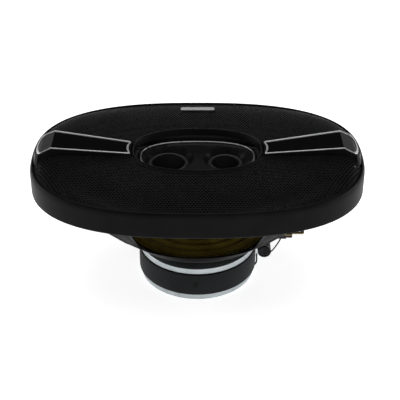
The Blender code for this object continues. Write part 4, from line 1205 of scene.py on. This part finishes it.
def rivet(name, node, head_r, seat_z):
    """Domed rivet in the place of a plain one."""
    low, high = box_mm(node)
    centre = ((low.x + high.x) / 2, (low.y + high.y) / 2)
    shank = head_r * 0.55
    top = high.z
    dome = [(0, top)]
    for i in range(1, 9):
        t = math.radians(90 * i / 8)
        dome.append((head_r * math.sin(t), seat_z + (top - seat_z) * math.cos(t)))
    profile = dome + [(shank, seat_z), (shank, low.z + 0.3), (shank - 0.3, low.z), (0, low.z)]
    put(name, lathe(name, profile, centre, 32), fastener_steel(), "root", [node])


def screw(name, node, finish):
    """Cross-recessed pan head screw in the place of a plain one."""
    low, high = box_mm(node)
    centre = ((low.x + high.x) / 2, (low.y + high.y) / 2)
    head_r = (high.x - low.x) / 2
    seat = high.z - 1.5
    head = rounded([(head_r, seat), (head_r, high.z - 0.2), (head_r * 0.6, high.z)], 0.5, 3, closed=False)
    profile = [(0, high.z), *head[::-1], (1.2, seat)]
    thread = low.z + 1.0
    while thread < seat - 0.7:
        profile += [(1.2, seat + low.z + 1.0 - thread), (0.95, seat + low.z + 0.7 - thread)]
        thread += 0.6
    profile += [(0.8, low.z + 0.6), (0, low.z)]
    body = lathe(name, profile, centre, 32)
    cuts = []
    for long_x in (True, False):
        half = (1.4, 0.25) if long_x else (0.25, 1.4)
        cuts.append(("DIFFERENCE", box_mesh((centre[0] - half[0], centre[1] - half[1], high.z - 0.8),
                                            (centre[0] + half[0], centre[1] + half[1], high.z + 1.0))))
    put(name, carved(body, *cuts), finish, "root", [node], sharp=30)


# ---------------------------------------------------------------- terminals and wiring

def make_terminals():
    """Terminal board, two push-on blades and the crossover capacitor."""
    low, high = box_mm("terminal_board")
    inner_r, first, last = 60.1, math.radians(-25.0), math.radians(-8.0)
    edge = [(inner_r * math.cos(first + (last - first) * i / 12),
             inner_r * math.sin(first + (last - first) * i / 12))
            for i in range(13)]
    corners = rounded([edge[-1], (high.x, edge[-1][1]), (high.x, edge[0][1]), edge[0]], 1.5, 5)
    board = plate("fibre_board", edge[1:-1] + corners[6:-6], low.z, high.z)
    put("fibre_board", board, fibre_board(), "root", ["terminal_board"], sharp=30,
        edge=0.15)
    for name, node in (("positive_blade", "positive_terminal"), ("negative_blade", "negative_terminal")):
        low, high = box_mm(node)
        y, half, step = (low.y + high.y) / 2, (high.y - low.y) / 2, high.z - low.z - 0.8
        sections = (
            (low.x, 1.6, 0.0), (66.5, half, 0.0), (70.9, half, 0.0), (71.4, half, 0.15 * step),
            (72.2, half, 0.85 * step), (72.7, half, step), (high.x - 1.2, half, step),
            (high.x, half - 1.2, step),
        )
        grids = []
        for z in (low.z + 0.8, low.z):
            grids.append([[(x, y - reach, z + lift), (x, y + reach, z + lift)] for x, reach,
                          lift in sections])
        blade = slab(name, *grids)
        hole = lathe("hole", [(0, 45), (0.8, 45), (0.8, 49), (0, 49)], (high.x - 3.4, y), steps=24)
        put(name, carved(blade, ("DIFFERENCE", hole)), plated_brass(), "root", [node], sharp=30,
            edge=0.12)
    low, high = box_mm("crossover_capacitor")
    radius, half = (high.z - low.z) / 2, (high.y - low.y) / 2
    profile = [
        (0, half - 0.5), (radius - 1.9, half - 0.5), (radius - 1.6, half), (radius - 0.9, half),
        *arc((radius - 1.0, half - 1.0), 1.0, 80, 0, 5), (radius, half - 2.4), (radius - 0.5, half - 3.0),
        (radius - 0.5, half - 3.5), (radius, half - 4.1), *arc((radius - 1.0, 1.0 - half), 1.0, 0, -90,
                                                               5), (0, -half),
    ]
    can = lathe("capacitor_can", profile, steps=SMALL_STEPS)
    can.transform(Matrix.Rotation(math.radians(90), 4, "X"))
    middle = (low + high) / 2
    can.transform(Matrix.Translation(middle * MM))
    put("capacitor_can", can, vinyl(), "root", ["crossover_capacitor"], sharp=40)


def make_wiring():
    """Crossover wire, tweeter cable, tinsel leads, tweeter leads and the foil over the cable."""
    feed = [
        (50.8, -31.9, 34.8), (52.2, -34.5, 35.6), (56.0, -34.6, 38.4), (60.5, -30.2, 42.0),
        (64.0, -26.2, 46.2), (65.4, -23.0, 47.3), (66.5, -21.2, 47.4),
    ]
    put("crossover_lead", tube("crossover_lead", feed, 0.5), vinyl(), "root", ["crossover_wire"],
        sharp=60)
    side_r, floor_z = 47.1, 0.98
    route = [
        (50.8, -9.7, 34.8), (51.4, -7.2, 34.4), (49.8, -3.0, 31.6), (side_r, 0, 26.5), (side_r, 0, 19.0),
        (side_r, 0, 11.0), (side_r, 0, 4.5), (45.6, 0, 1.3), (42.0, 0, floor_z), (31.0, 0, floor_z),
        (19.0, 0, floor_z), (7.5, 0, floor_z), (2.8, 0, 2.2), (0.6, -0.2, 6.5), (0, 0, 14.0),
        (0, 0, 30.0),
        (0, 0, 50.0), (0, 0, 70.0), (0, 0, 88.0),
    ]
    put("tweeter_cable", tube("tweeter_cable", route, 0.65), vinyl(), "root", ["tweeter_feed_cable"],
        sharp=60)
    for node, y0, y1 in (("tinsel_lead_positive", -20.5, -15.0), ("tinsel_lead_negative", -12.5, -5.0)):
        lead = [
            (66.2, y0, 47.3), (64.6, y0 + 0.3, 48.5), (60.5, y0 + 1.0, 50.8), (52.0, y0 + 2.5, 52.0),
            (43.0, y1 - 1.0, 54.0), (36.0, y1, 57.0),
        ]
        braid = put(f"braided_{node}", tube(node, lead, 0.5), tinned_braid(), None, [node],
                    sharp=60)
        bend_between(braid, lambda x, y, z: (64.0 - x) / 28.0)
    for node, side, end in (("large_tweeter_lead", -1, -6.4), ("small_tweeter_lead", 1, 7.8)):
        lead = [(0.9 * side, -0.9 * side, 88.2), (2.6 * side, -1.6 * side, 89.0),
                (4.4 * side, -2.2 * side, 90.0),
                (end, -2.4 * side, 90.6)]
        put(f"sleeved_{node}", tube(node, lead, 0.4), vinyl(), "root", [node], sharp=60)
    make_foil()


def make_foil():
    """Foil tape that holds the cable to the magnet: a creased tent, stuck down at both sides."""
    low, high = box_mm("foil_strip")
    rows, columns = 24, 28
    shape = bmesh.new()
    grid = []
    for i in range(rows + 1):
        z = low.z + (high.z - low.z) * i / rows
        row = []
        for j in range(columns + 1):
            v = 2 * j / columns - 1
            hump = math.exp(-(v * 2.6) ** 2)
            crease = noise.noise(Vector((v * 2.2, z * 0.35, 1.7)))
            edge = 1 - abs(v) ** 8
            r = MAGNET_HIGH.x + 0.35 + 1.95 * hump + 0.22 * crease * edge
            turn = math.radians(8.0) * v
            row.append(shape.verts.new((r * math.cos(turn) * MM, r * math.sin(turn) * MM, z * MM)))
        grid.append(row)
    for lower, upper in zip(grid, grid[1:]):
        for j in range(columns):
            shape.faces.new((lower[j], lower[j + 1], upper[j + 1], upper[j]))
    mesh = bpy.data.meshes.new("foil_tape")
    shape.to_mesh(mesh)
    shape.free()
    put("foil_tape", mesh, foil_tape(), "root", ["foil_strip"], sharp=60, wall=0.12, side=1.0)


# ---------------------------------------------------------------- tweeter pod

def make_pod():
    """Post, housing, face with two wells, silver ring and screws."""
    post_top = box_mm("tweeter_post")[1].z
    profile = rounded([
        (12.0, post_top), (12.0, post_top - 2.4), (7.5, post_top - 6.0), (7.5, FLOOR_Z), (5.0, FLOOR_Z),
        (5.0, 8.0), (3.2, 8.0), (3.2, post_top),
    ], 0.4, 2)
    post = lathe("pod_post", profile, steps=SMALL_STEPS)
    floor_z, base = 86.0, post_top + 0.3
    rings = [
        (3.4, 3.4, base, 2.0), (35.4, 14.9, base, POD_POWER), (36.4, 15.8, base + 0.4, POD_POWER),
        (39.4, 18.4, floor_z, POD_POWER), (39.9, 18.9, floor_z + 0.5, POD_POWER),
        (42.8, 22.2, 95.0, POD_POWER),
        (43.3, 23.0, 97.4, POD_POWER), (43.1, 22.8, 97.6, POD_POWER), (41.7, 21.4, 97.6, POD_POWER),
        (41.2, 20.6, 95.0, POD_POWER), (38.2, 17.2, floor_z + 1.0, POD_POWER),
        (38.0, 17.0, floor_z, POD_POWER),
        (3.4, 3.4, floor_z, 2.0),
    ]
    housing = loft("pod_housing", rings, True, 128)
    holes, threads = [], []
    for y in (-8.0, 8.0):
        holes.append(("DIFFERENCE", lathe("hole", [(0, 83), (1.5, 83), (1.5, 88), (0, 88)], (0.6, y),
                                          24)))
        threads.append(("DIFFERENCE", lathe("hole", [(0, 77), (1.5, 77), (1.5, 86), (0, 86)], (0.6, y),
                                            24)))
    put("pod_post", carved(post, *threads), pod_plastic(), "root", ["tweeter_post"])
    put("pod_housing", carved(housing, *holes), pod_plastic(), "root", ["pod_body"])
    screw("pod_screw_a", "pod_screw_front", fastener_steel())
    screw("pod_screw_b", "pod_screw_rear", fastener_steel())

    low_z = FACE_LOW.z
    rings = [
        (40.6, 19.9, low_z, POD_POWER), (41.2, 20.9, 97.6, POD_POWER), (41.2, 20.9, 97.9, POD_POWER),
        (44.2, 26.2, 97.9, POD_POWER), (45.0, 27.1, 98.2, POD_POWER),
        (FACE_HIGH.x, FACE_HIGH.y, 98.8, POD_POWER),
        (45.2, 27.3, 99.3, POD_POWER), (44.6, 26.2, 99.7, POD_POWER), (43.6, 23.8, 100.1, POD_POWER),
        (43.2, 23.2, 100.2, POD_POWER), (42.0, 22.0, 100.2, POD_POWER), (41.7, 21.7, 100.0, POD_POWER),
        (41.4, 21.4, 99.6, POD_POWER), (40.6, 20.8, 99.3, POD_POWER),
    ]
    face = loft("pod_face", rings, False, 128)
    wells = []
    for x, top_r, bottom_r in ((LARGE_X, 19.3, 14.9), (SMALL_X, 17.0, 12.9)):
        bell = [(0, 104.0), (top_r + 3.8, 104.0), (top_r + 1.5, 101.0), (top_r, 99.6),
                (top_r - 1.6, 98.0),
                (bottom_r + 1.3, 96.4), (bottom_r + 0.2, 95.2), (bottom_r, 93.5), (0, 93.5)]
        wells.append(("DIFFERENCE", lathe("well", bell, (x, 0), 96)))
    put("pod_face_plate", carved(face, *wells), pod_plastic(), "root", ["pod_face"],
        sharp=32, edge=0.3, segments=3)
    low, high = box_mm("pod_trim_ring")
    width = 0.9
    profile = rounded([(high.x, low.z), (high.x - 0.1, high.z), (high.x - width, high.z),
                       (high.x - width, low.z)], 0.25, 3)
    rings = [(a, a - (high.x - high.y), z, POD_POWER) for a, z in profile]
    put("pod_ring", loft("pod_ring", rings, True), ring_silver(), "root", ["pod_trim_ring"])


def make_tweeter(size, x, body):
    """One tweeter: cup, magnet, pole plate, wound coil, cloth dome with its seam, and rolled surround."""
    dome_low, dome_high = box_mm(f"{size}_tweeter_dome")
    dome_r, height = (dome_high.x - dome_low.x) / 2, dome_high.z - dome_low.z
    for part, finish, slot in (("cup", plating(), "zinc_plate"), ("magnet", fastener_steel(), "steel"),
                               ("pole_plate", plating(), "zinc_plate")):
        low, high = box_mm(f"{size}_tweeter_{part}")
        r = (high.x - low.x) / 2
        if part == "cup":
            profile = [(0, low.z + 1.8), (r - 1.1, low.z + 1.8), (r - 1.1, high.z), (r, high.z),
                       (r, low.z), (0, low.z)]
        else:
            profile = [(0, high.z), (r, high.z), (r, low.z), (0, low.z)]
        profile = rounded(profile, 0.3, 2, closed=False)
        put(f"{size}_{part}", lathe(part, profile, (x, 0), SMALL_STEPS), finish, "root",
            [f"{size}_tweeter_{part}"])
    low, high = box_mm(f"{size}_tweeter_coil")
    r = (high.x - low.x) / 2
    profile = [(r, high.z), (r, low.z), (r - 0.4, low.z), (r - 0.4, high.z)]
    put(f"{size}_coil", lathe("coil", profile, (x, 0), SMALL_STEPS), enamelled_copper(), body,
        [f"{size}_tweeter_coil"])
    radius = (dome_r ** 2 + height ** 2) / (2 * height)
    reach = math.degrees(math.asin(min(1.0, dome_r / radius)))
    middle = dome_low.z + height - radius
    outside = arc((0, middle), radius, 90, 90 - reach, 20)
    inside = arc((0, middle), radius - 0.3, 90, 90 - reach, 20)
    profile = [(0, outside[0][1]), *outside[1:], *inside[::-1][:-1], (0, inside[0][1])]
    put(f"{size}_dome", lathe("dome", profile, (x, 0), SMALL_STEPS), dome_cloth(), body,
        [f"{size}_tweeter_dome"])
    first, last = dome_r + 0.25, dome_r + 2.3
    middle_r, half = (first + last) / 2, (last - first) / 2
    z = box_mm(f"{size}_tweeter_surround")[0].z + 0.2
    line = [(first - 0.2, z), *[(r, z + (h - z) * 1.1) for r, h in arc((middle_r, z), half, 180, 0, 10)],
            (last + 1.5, z)]
    roll = lathe("roll", line, (x, 0), SMALL_STEPS, closed=False)
    piece = put(f"{size}_roll", roll, rubber(), None, [f"{size}_tweeter_surround"], sharp=70,
                wall=0.25)
    bend_between(piece, lambda px, py, pz: (last - math.hypot(px - x, py)) / (last - first))


# ---------------------------------------------------------------- grille shape rules

def between(knots, x):
    """Value at x on a line through knots."""
    first, second = knots[0], knots[1]
    for first, second in zip(knots, knots[1:]):
        if x <= second[0]:
            break
    t = (x - first[0]) / (second[0] - first[0])
    return first[1] + (second[1] - first[1]) * t


def mesh_height(x, y):
    """Height of the mesh: a low plateau that rises towards both ends and falls to the rim."""
    reach = min(1.0, oval_reach(x, y, RIM_A - 3.0, RIM_B - 3.0, RIM_POWER))
    end = (abs(x) / 110.0) ** 3
    return 102.4 + 3.8 * (1 - reach ** 6) + 6.8 * end * (1 - reach ** 16)


def arm_spread(x):
    """Extra width of the arm's foot past the kink."""
    return ARM_FLARE * max(0.0, (x - ARM_KINK) / (ARM_TIP - ARM_KINK))


def wall_half_width(x):
    """Half width of the arm's side wall where the mesh meets it."""
    width = between(ARM_WIDTHS, x)
    top = between(ARM_HEIGHTS, x)
    share = (top - mesh_height(x, width + 2.0)) / (top - ARM_FLOOR)
    return width + ARM_WALL + share * (ARM_FOOT + arm_spread(x) - ARM_WALL)


def room_at(x, y):
    """Distance from a point of the mesh to rim, ring or arm. It is negative outside the mesh."""
    def distance(a, b, power, sign):
        here = oval_reach(x, y, a, b, power)
        step = 0.05
        slope_x = (oval_reach(x + step, y, a, b, power) - here) / step
        slope_y = (oval_reach(x, y + step, a, b, power) - here) / step
        return sign * (1.0 - here) / max(1e-6, math.hypot(slope_x, slope_y))

    room = min(distance(RIM_A - 2.8, RIM_B - 2.8, RIM_POWER, 1.0),
               distance(RING_A + 1.0, RING_B + 1.2, RING_POWER, -1.0))
    if abs(x) > 44.0:
        room = min(room, abs(y) - wall_half_width(abs(x)))
    return room


def arm_sheet(inset, lift, side, flare=False, floor=None, along=14, beyond=8, across=30):
    """Grid of points over the arm. The inset shrinks the outline, lift raises it above the crest."""
    grid = []
    for k in range(along + beyond + 1):
        row = []
        for j in range(across + 1):
            v = 2 * j / across - 1
            bow = 1 - v * v
            nip = ARM_NIP * max(0.0, (abs(v) - 0.8) / 0.2) ** 2
            root = ARM_ROOT + ARM_BOW * bow + nip + inset
            tip = ARM_END + (ARM_TIP - ARM_END) * bow - nip - inset
            if k <= along:
                x = root + (ARM_KINK - root) * k / along
            else:
                x = ARM_KINK + (tip - ARM_KINK) * (k - along) / beyond
            spread = arm_spread(x) if flare else 0.0
            y = v * (between(ARM_WIDTHS, x) - inset + spread)
            z = between(ARM_HEIGHTS, x) + lift if floor is None else floor
            row.append((x * side, y, z))
        grid.append(row)
    return grid


def rim_of(grid):
    """Points round the edge of a grid."""
    return grid[0] + [row[-1] for row in grid[1:-1]] + grid[-1][::-1] + [row[0] for row in grid[-2:0:-1]]


def slab(name, top, bottom):
    """Closed slab between two grids."""
    shape = bmesh.new()
    layers = [[[shape.verts.new(Vector(spot) * MM) for spot in row] for row in grid] for grid in (top,
                                                                                                  bottom)]
    for layer in layers:
        for row, following in zip(layer, layer[1:]):
            for j in range(len(row) - 1):
                shape.faces.new((row[j], row[j + 1], following[j + 1], following[j]))
    upper, lower = rim_of(layers[0]), rim_of(layers[1])
    for i in range(len(upper)):
        j = (i + 1) % len(upper)
        shape.faces.new((upper[i], upper[j], lower[j], lower[i]))
    return to_mesh(shape, name)


def band(name, loops):
    """Closed band through loops of points."""
    shape = bmesh.new()
    rings = [[shape.verts.new(Vector(spot) * MM) for spot in loop] for loop in loops]
    count = len(rings[0])
    for here, following in zip(rings, rings[1:] + rings[:1]):
        for i in range(count):
            j = (i + 1) % count
            shape.faces.new((here[i], here[j], following[j], following[i]))
    return to_mesh(shape, name)


# ---------------------------------------------------------------- grille pieces

def make_grille_rim():
    """Outer rim: skirt with a rounded top edge, and the seat for the mesh."""
    profile = [
        (0.5, SEAT_Z), (0.0, SEAT_Z + 0.7), (0.0, 98.4), (0.12, 100.2), (0.45, 101.7), (1.0, 102.8),
        (1.6, 103.35),
        (2.05, RIM_TOP), (2.4, 103.3), (2.6, 102.9), (2.7, 101.3), (6.5, 101.0), (6.5, 99.4), (2.8, 98.2),
        (2.5, 97.4), (2.4, SEAT_Z + 0.3), (2.0, SEAT_Z),
    ]
    rings = [(RIM_A - inset, RIM_B - inset, z, RIM_POWER) for inset, z in profile]
    put("grille_rim_moulding", loft("grille_rim_moulding", rings, True, 256), moulding(), "grille",
        ["grille_rim"])


def make_grille_bridge():
    """Centre ring and the two arms, in one moulding with pockets for the inlays."""
    crest_a, crest_b = RING_A, RING_B
    ring = [
        (1.2, 1.4, ARM_FLOOR), (1.05, 1.25, 105.6), (0.9, 1.1, 106.4), (0.6, 0.7, 107.0),
        (0.25, 0.3, 107.3),
        (-0.1, -0.1, RING_TOP), (-0.45, -0.5, 107.2), (-0.75, -0.95, 106.7), (-1.0, -1.3, 105.8),
        (-1.35, -1.75, 104.2), (-1.7, -2.2, 102.7), (-1.6, -2.1, 102.35), (-1.3, -1.7, 102.3),
    ]
    rings = [(crest_a + da, crest_b + db, z, RING_POWER) for da, db, z in ring]
    bridge = loft("grille_bridge", rings, True)
    limit_rings = [(RIM_A - 0.5, RIM_B - 0.5, z, RIM_POWER) for z in (95.0, 125.0)]
    steps = []
    for side in (1, -1):
        top = arm_sheet(-ARM_WALL, -0.35, side)
        foot = arm_sheet(-ARM_FOOT, 0.0, side, flare=True, floor=ARM_FLOOR)
        limit = loft("limit", limit_rings, False)
        arm = carved(slab("arm", top, foot), ("INTERSECT", limit))
        pocket = slab("pocket", arm_sheet(-0.15, 8.0, side), arm_sheet(-0.15, -TRIM_DEPTH - 0.6, side))
        steps += [("UNION", arm), ("DIFFERENCE", pocket)]
    edge = settings("grille").edge_round / MM
    put("grille_bridge_moulding", carved(bridge, *steps), moulding(), "grille", ["grille_bridge"],
        sharp=30, edge=edge, segments=2)


def make_arm_inlays():
    """Silver trim with a rounded crest, and the gloss insert inside it, in each arm."""
    for side, word in ((1, "right"), (-1, "left")):
        half = TRIM_WIDTH / 2
        section = [
            (0.0, -0.95), (0.1, -0.35), (0.3, -0.1), (half, 0.0), (TRIM_WIDTH - 0.3, -0.1),
            (TRIM_WIDTH - 0.1, -0.35), (TRIM_WIDTH, -0.95), (TRIM_WIDTH - 0.1, -TRIM_DEPTH - 0.3),
            (0.1, -TRIM_DEPTH - 0.3),
        ]
        loops = [rim_of(arm_sheet(inset, lift, side)) for inset, lift in section]
        put(f"arm_trim_{word}_frame", band("arm_trim", loops), trim_silver(), "grille",
            [f"arm_trim_{word}"],
            sharp=50)
        top = arm_sheet(TRIM_WIDTH + 0.05, -0.75, side)
        bottom = arm_sheet(TRIM_WIDTH + 0.05, -TRIM_DEPTH - 0.4, side)
        put(f"arm_insert_{word}_panel", slab("arm_insert", top, bottom), gloss_black(), "grille",
            [f"arm_insert_{word}"], sharp=30, edge=0.15)


def mesh_outline(side):
    """Closed outline of one half of the mesh, as (x, y) points."""
    ring_a, ring_b = RING_A + 1.0, RING_B + 1.2
    turn = 0.0
    while True:
        x, y = oval_point(ring_a, ring_b, RING_POWER, turn)
        if y >= wall_half_width(max(x, ARM_ROOT)):
            break
        turn += 0.005
    ring = [oval_point(ring_a, ring_b, RING_POWER, turn + (math.pi - 2 * turn) * i / 90) for i in range(91)]
    end = ARM_ROOT
    while room_at(end, wall_half_width(end) + 0.2) > 0.1:
        end += 0.2
    arm = [ARM_ROOT + 0.6 + (end - ARM_ROOT - 0.6) * i / 30 for i in range(31)]
    right = [(x, wall_half_width(x)) for x in arm[::-1]]
    left = [(-x, y) for x, y in right[::-1]]
    far = []
    a, b = RIM_A - 2.8, RIM_B - 2.8
    begin = 0.0
    while oval_point(a, b, RIM_POWER, begin)[1] < right[0][1] + 0.4:
        begin += 0.002
    for i in range(181):
        far.append(oval_point(a, b, RIM_POWER, math.pi - begin - (math.pi - 2 * begin) * i / 180))
    return [(x, side * y) for x, y in right + ring + left + far]


def edge_band(name, side, width, thickness):
    """Plain band round the edge of one mesh half."""
    outline = mesh_outline(side)
    count = len(outline)
    inner = []
    for i, (x, y) in enumerate(outline):
        before, after = outline[i - 1], outline[(i + 1) % count]
        along = Vector((after[0] - before[0], after[1] - before[1])).normalized()
        normal = Vector((-along.y, along.x)) * side
        inner.append((x - normal.x * width, y - normal.y * width))
    loops = []
    for points, drop in ((outline, -0.04), (inner, -0.04), (inner, thickness), (outline, thickness)):
        loops.append([(x, y, mesh_height(x, y) - drop) for x, y in points])
    return band(name, loops)


def make_grille_mesh():
    """Both halves of the perforated mesh: hexagonal cells on a domed guide sheet, with a plain edge band."""
    conf = settings("grille")
    group = perforation_group()
    finish = powder_coat()
    step = 1.5
    thickness = conf.sheet / MM
    for word, side in (("front", -1), ("rear", 1)):
        shape = bmesh.new()
        rooms = []
        columns, rows = round(2 * (RIM_A + 3) / step), round((RIM_B - 4) / step)
        grid = []
        for i in range(columns + 1):
            line = []
            for j in range(rows + 1):
                x = -RIM_A - 3 + i * step
                y = side * (8.0 + j * step)
                line.append(shape.verts.new((x * MM, y * MM, mesh_height(x, y) * MM)))
                rooms.append(room_at(x, y) * MM)
            grid.append(line)
        for line, following in zip(grid, grid[1:]):
            for j in range(rows):
                shape.faces.new((line[j], line[j + 1], following[j + 1], following[j]))
        guide = bpy.data.meshes.new("guide")
        shape.to_mesh(guide)
        shape.free()
        guide.attributes.new("room", "FLOAT", "POINT").data.foreach_set("value", rooms)
        cells = grown("cells", guide, group, Pitch=conf.hole_pitch, Hole_Share=conf.hole_share,
                      Width=2 * RIM_A * MM, Depth=(RIM_B - 8.0) * MM,
                      Middle=(0.0, side * (RIM_B + 8.0) / 2 * MM, 0.0), Margin=0.0009, Material=finish)
        sheet = holder("cells", cells)
        skin = sheet.modifiers.new("wall", "SOLIDIFY")
        skin.thickness = thickness * MM
        skin.offset = -1.0
        cells = evaluated(sheet, "cells")
        flip_if_inward(cells)
        whole = joined(f"perforated_mesh_{word}", cells, edge_band("edge", side, conf.edge_band / MM,
                                                                   thickness + 0.05))
        put(f"perforated_mesh_{word}", whole, finish, "grille", [f"grille_mesh_{word}"],
            sharp=30)


def flip_if_inward(mesh):
    """Turn the faces round if the closed mesh is inside out."""
    shape = bmesh.new()
    shape.from_mesh(mesh)
    if shape.calc_volume(signed=True) < 0:
        bmesh.ops.reverse_faces(shape, faces=shape.faces)
    shape.to_mesh(mesh)
    shape.free()


def make_badge():
    """Blank badge plate with a raised edge, on the rear mesh."""
    low, high = box_mm("badge_plate")
    half_x, half_y, y = (high.x - low.x) / 2, (high.y - low.y) / 2, (low.y + high.y) / 2
    corners = [(-half_x, -half_y), (half_x, -half_y), (half_x, half_y), (-half_x, half_y)]
    body = plate("badge", rounded(corners, 1.4, 6), 0.0, 0.8)
    sunk = plate("sunk", rounded([(x * 0.965, v * 0.8) for x, v in corners], 1.0, 6), 0.62, 1.5)
    body = carved(body, ("DIFFERENCE", sunk))
    slope = (mesh_height(0, y + 1) - mesh_height(0, y - 1)) / 2
    body.transform(Matrix.Rotation(math.atan(slope), 4, "X"))
    body.transform(Matrix.Translation(Vector((0, y, mesh_height(0, y) + 0.15)) * MM))
    put("blank_badge", body, badge_silver(), "grille", ["badge_plate"], sharp=30, edge=0.1)


# ---------------------------------------------------------------- stage

def make_stage():
    """Pale floor, soft lights, and a camera at the front, above the speaker."""
    conf = settings("studio")
    outline = rounded([(-1500, -1500), (1500, -1500), (1500, 1500), (-1500, 1500)], 200, 6)
    floor = holder("studio_floor", plate("studio_floor", outline, -4.0, -0.05))
    floor.data.materials.append(surface("studio_floor", rgb(conf.floor), studio_floor,
                                        Emission_Color=(1.0, 1.0, 1.0, 1.0),
                                        Emission_Strength=conf.floor_glow))

    world = bpy.data.worlds.new("studio_surroundings")
    world.use_nodes = True
    sketch = Sketch(world.node_tree)
    way = sketch.add("ShaderNodeTexCoord").outputs["Generated"]
    height = sketch.add("ShaderNodeSeparateXYZ", {0: way}).outputs[2]
    tones = sketch.ramp(height, ((0.0, 1.0), (0.10, 0.85), (0.26, 0.05), (1.0, 0.05)))
    sky = world.node_tree.nodes["Background"]
    world.node_tree.links.new(tones, sky.inputs["Color"])
    sky.inputs["Strength"].default_value = conf.surround_light
    bpy.context.scene.world = world
    bpy.context.scene.view_settings.view_transform = "Standard"

    lights = (
        ("key", (0.0, 0.15, 1.2), (1.5, 1.1), conf.key_power),
        ("front", (0.5, -1.1, 0.45), (0.5, 0.3), conf.front_power),
        ("left", (-1.1, 0.15, 0.30), (0.9, 0.5), conf.side_power),
        ("right", (1.1, 0.15, 0.30), (0.9, 0.5), conf.side_power),
        ("rear", (0.0, 1.3, 0.30), (1.4, 0.5), conf.side_power * REAR_SHARE),
    )
    target = Vector((0.0, 0.0, 0.07))
    for name, place, (width, depth), power in lights:
        lamp = bpy.data.lights.new(name, "AREA")
        lamp.shape = "RECTANGLE"
        lamp.size, lamp.size_y, lamp.energy = width, depth, power
        light = holder(f"{name}_light", lamp)
        light.location = place
        light.rotation_euler = (target - light.location).to_track_quat("-Z", "Y").to_euler()

    camera_data = bpy.data.cameras.new("camera")
    camera_data.lens = conf.lens
    camera_data.sensor_width = 36.0
    camera_data.clip_start, camera_data.clip_end = 0.05, 20.0
    camera = holder("camera", camera_data)
    aim = Vector(CAMERA_AIM) * MM
    back = Vector((0.0, -math.cos(conf.height), math.sin(conf.height)))
    camera.location = aim + back * conf.distance
    camera.rotation_euler = (-back).to_track_quat("-Z", "Y").to_euler()
    bpy.context.scene.camera = camera


# ---------------------------------------------------------------- operators, panel and registration

def operator(name, label, words, *makers):
    """Operator class that runs the makers of one group of pieces."""
    def execute(self, context):
        for maker in makers:
            maker()
        return {"FINISHED"}

    return type(f"SPEAKER_OT_{name}", (bpy.types.Operator,), {
        "__doc__": words, "bl_idname": f"speaker.{name}", "bl_label": label, "execute": execute,
    })


def make_tweeters():
    """Both tweeters."""
    make_tweeter("large", LARGE_X, "large_dome")
    make_tweeter("small", SMALL_X, "small_dome")


OPERATORS = (
    operator("stage", "Stage", "Make the floor, lights and camera", make_stage),
    operator("motor", "Motor", "Make the plates, the magnet and its glue", make_motor),
    operator("basket", "Basket", "Make the pressed basket", make_basket),
    operator("cone", "Cone", "Make the cone", make_cone),
    operator("voice_coil", "Voice coil", "Make the former and the winding", make_voice_coil),
    operator("spider", "Spider", "Make the corrugated spider", make_spider),
    operator("surround", "Surround", "Make the rubber surround and its gasket", make_surround),
    operator("fasteners", "Fasteners", "Make the rivets", make_fasteners),
    operator("terminals", "Terminals", "Make the terminal board, blades and capacitor", make_terminals),
    operator("wiring", "Wiring", "Make the wires and the foil", make_wiring),
    operator("pod", "Pod", "Make the tweeter pod", make_pod),
    operator("tweeters", "Tweeters", "Make both dome tweeters", make_tweeters),
    operator("grille_rim", "Grille rim", "Make the outer rim of the grille", make_grille_rim),
    operator("grille_bridge", "Grille bridge", "Make the centre ring and the arms", make_grille_bridge),
    operator("arm_inlays", "Arm inlays", "Make the silver trims and the gloss inserts", make_arm_inlays),
    operator("grille_mesh", "Grille mesh", "Make the perforated mesh", make_grille_mesh),
    operator("badge", "Badge", "Make the blank badge", make_badge),
)

SETTINGS = {
    "grille": GrilleSettings, "motor": MotorSettings, "cone": ConeSettings,
    "pod": PodSettings, "wiring": WiringSettings, "studio": StudioSettings,
}


class SPEAKER_PT_panel(bpy.types.Panel):
    """Lists the speaker's settings and the pieces to build."""

    bl_label = "Coaxial speaker"
    bl_idname = "SPEAKER_PT_panel"
    bl_space_type = "VIEW_3D"
    bl_region_type = "UI"
    bl_category = "Speaker"

    def draw(self, context):
        """Draw the settings of each group, then a button for each operator."""
        for name in SETTINGS:
            column = self.layout.column(heading=name.capitalize())
            group = getattr(context.scene, f"speaker_{name}")
            for key in group.bl_rna.properties.keys():
                if key not in ("rna_type", "name"):
                    column.prop(group, key)
        for kind in OPERATORS:
            self.layout.operator(kind.bl_idname)


def register():
    """Register the classes and hang the settings on the scene."""
    for name, group in SETTINGS.items():
        bpy.utils.register_class(group)
        setattr(bpy.types.Scene, f"speaker_{name}", bpy.props.PointerProperty(type=group))
    for kind in (*OPERATORS, SPEAKER_PT_panel):
        bpy.utils.register_class(kind)


def unregister():
    """Undo register."""
    for kind in (SPEAKER_PT_panel, *reversed(OPERATORS)):
        bpy.utils.unregister_class(kind)
    for name, group in SETTINGS.items():
        delattr(bpy.types.Scene, f"speaker_{name}")
        bpy.utils.unregister_class(group)


def main():
    """Build everything in order and note the two sizes."""
    register()
    for kind in OPERATORS:
        category, name = kind.bl_idname.split(".")
        getattr(getattr(bpy.ops, category), name)()


if __name__ == "__main__":
    main()
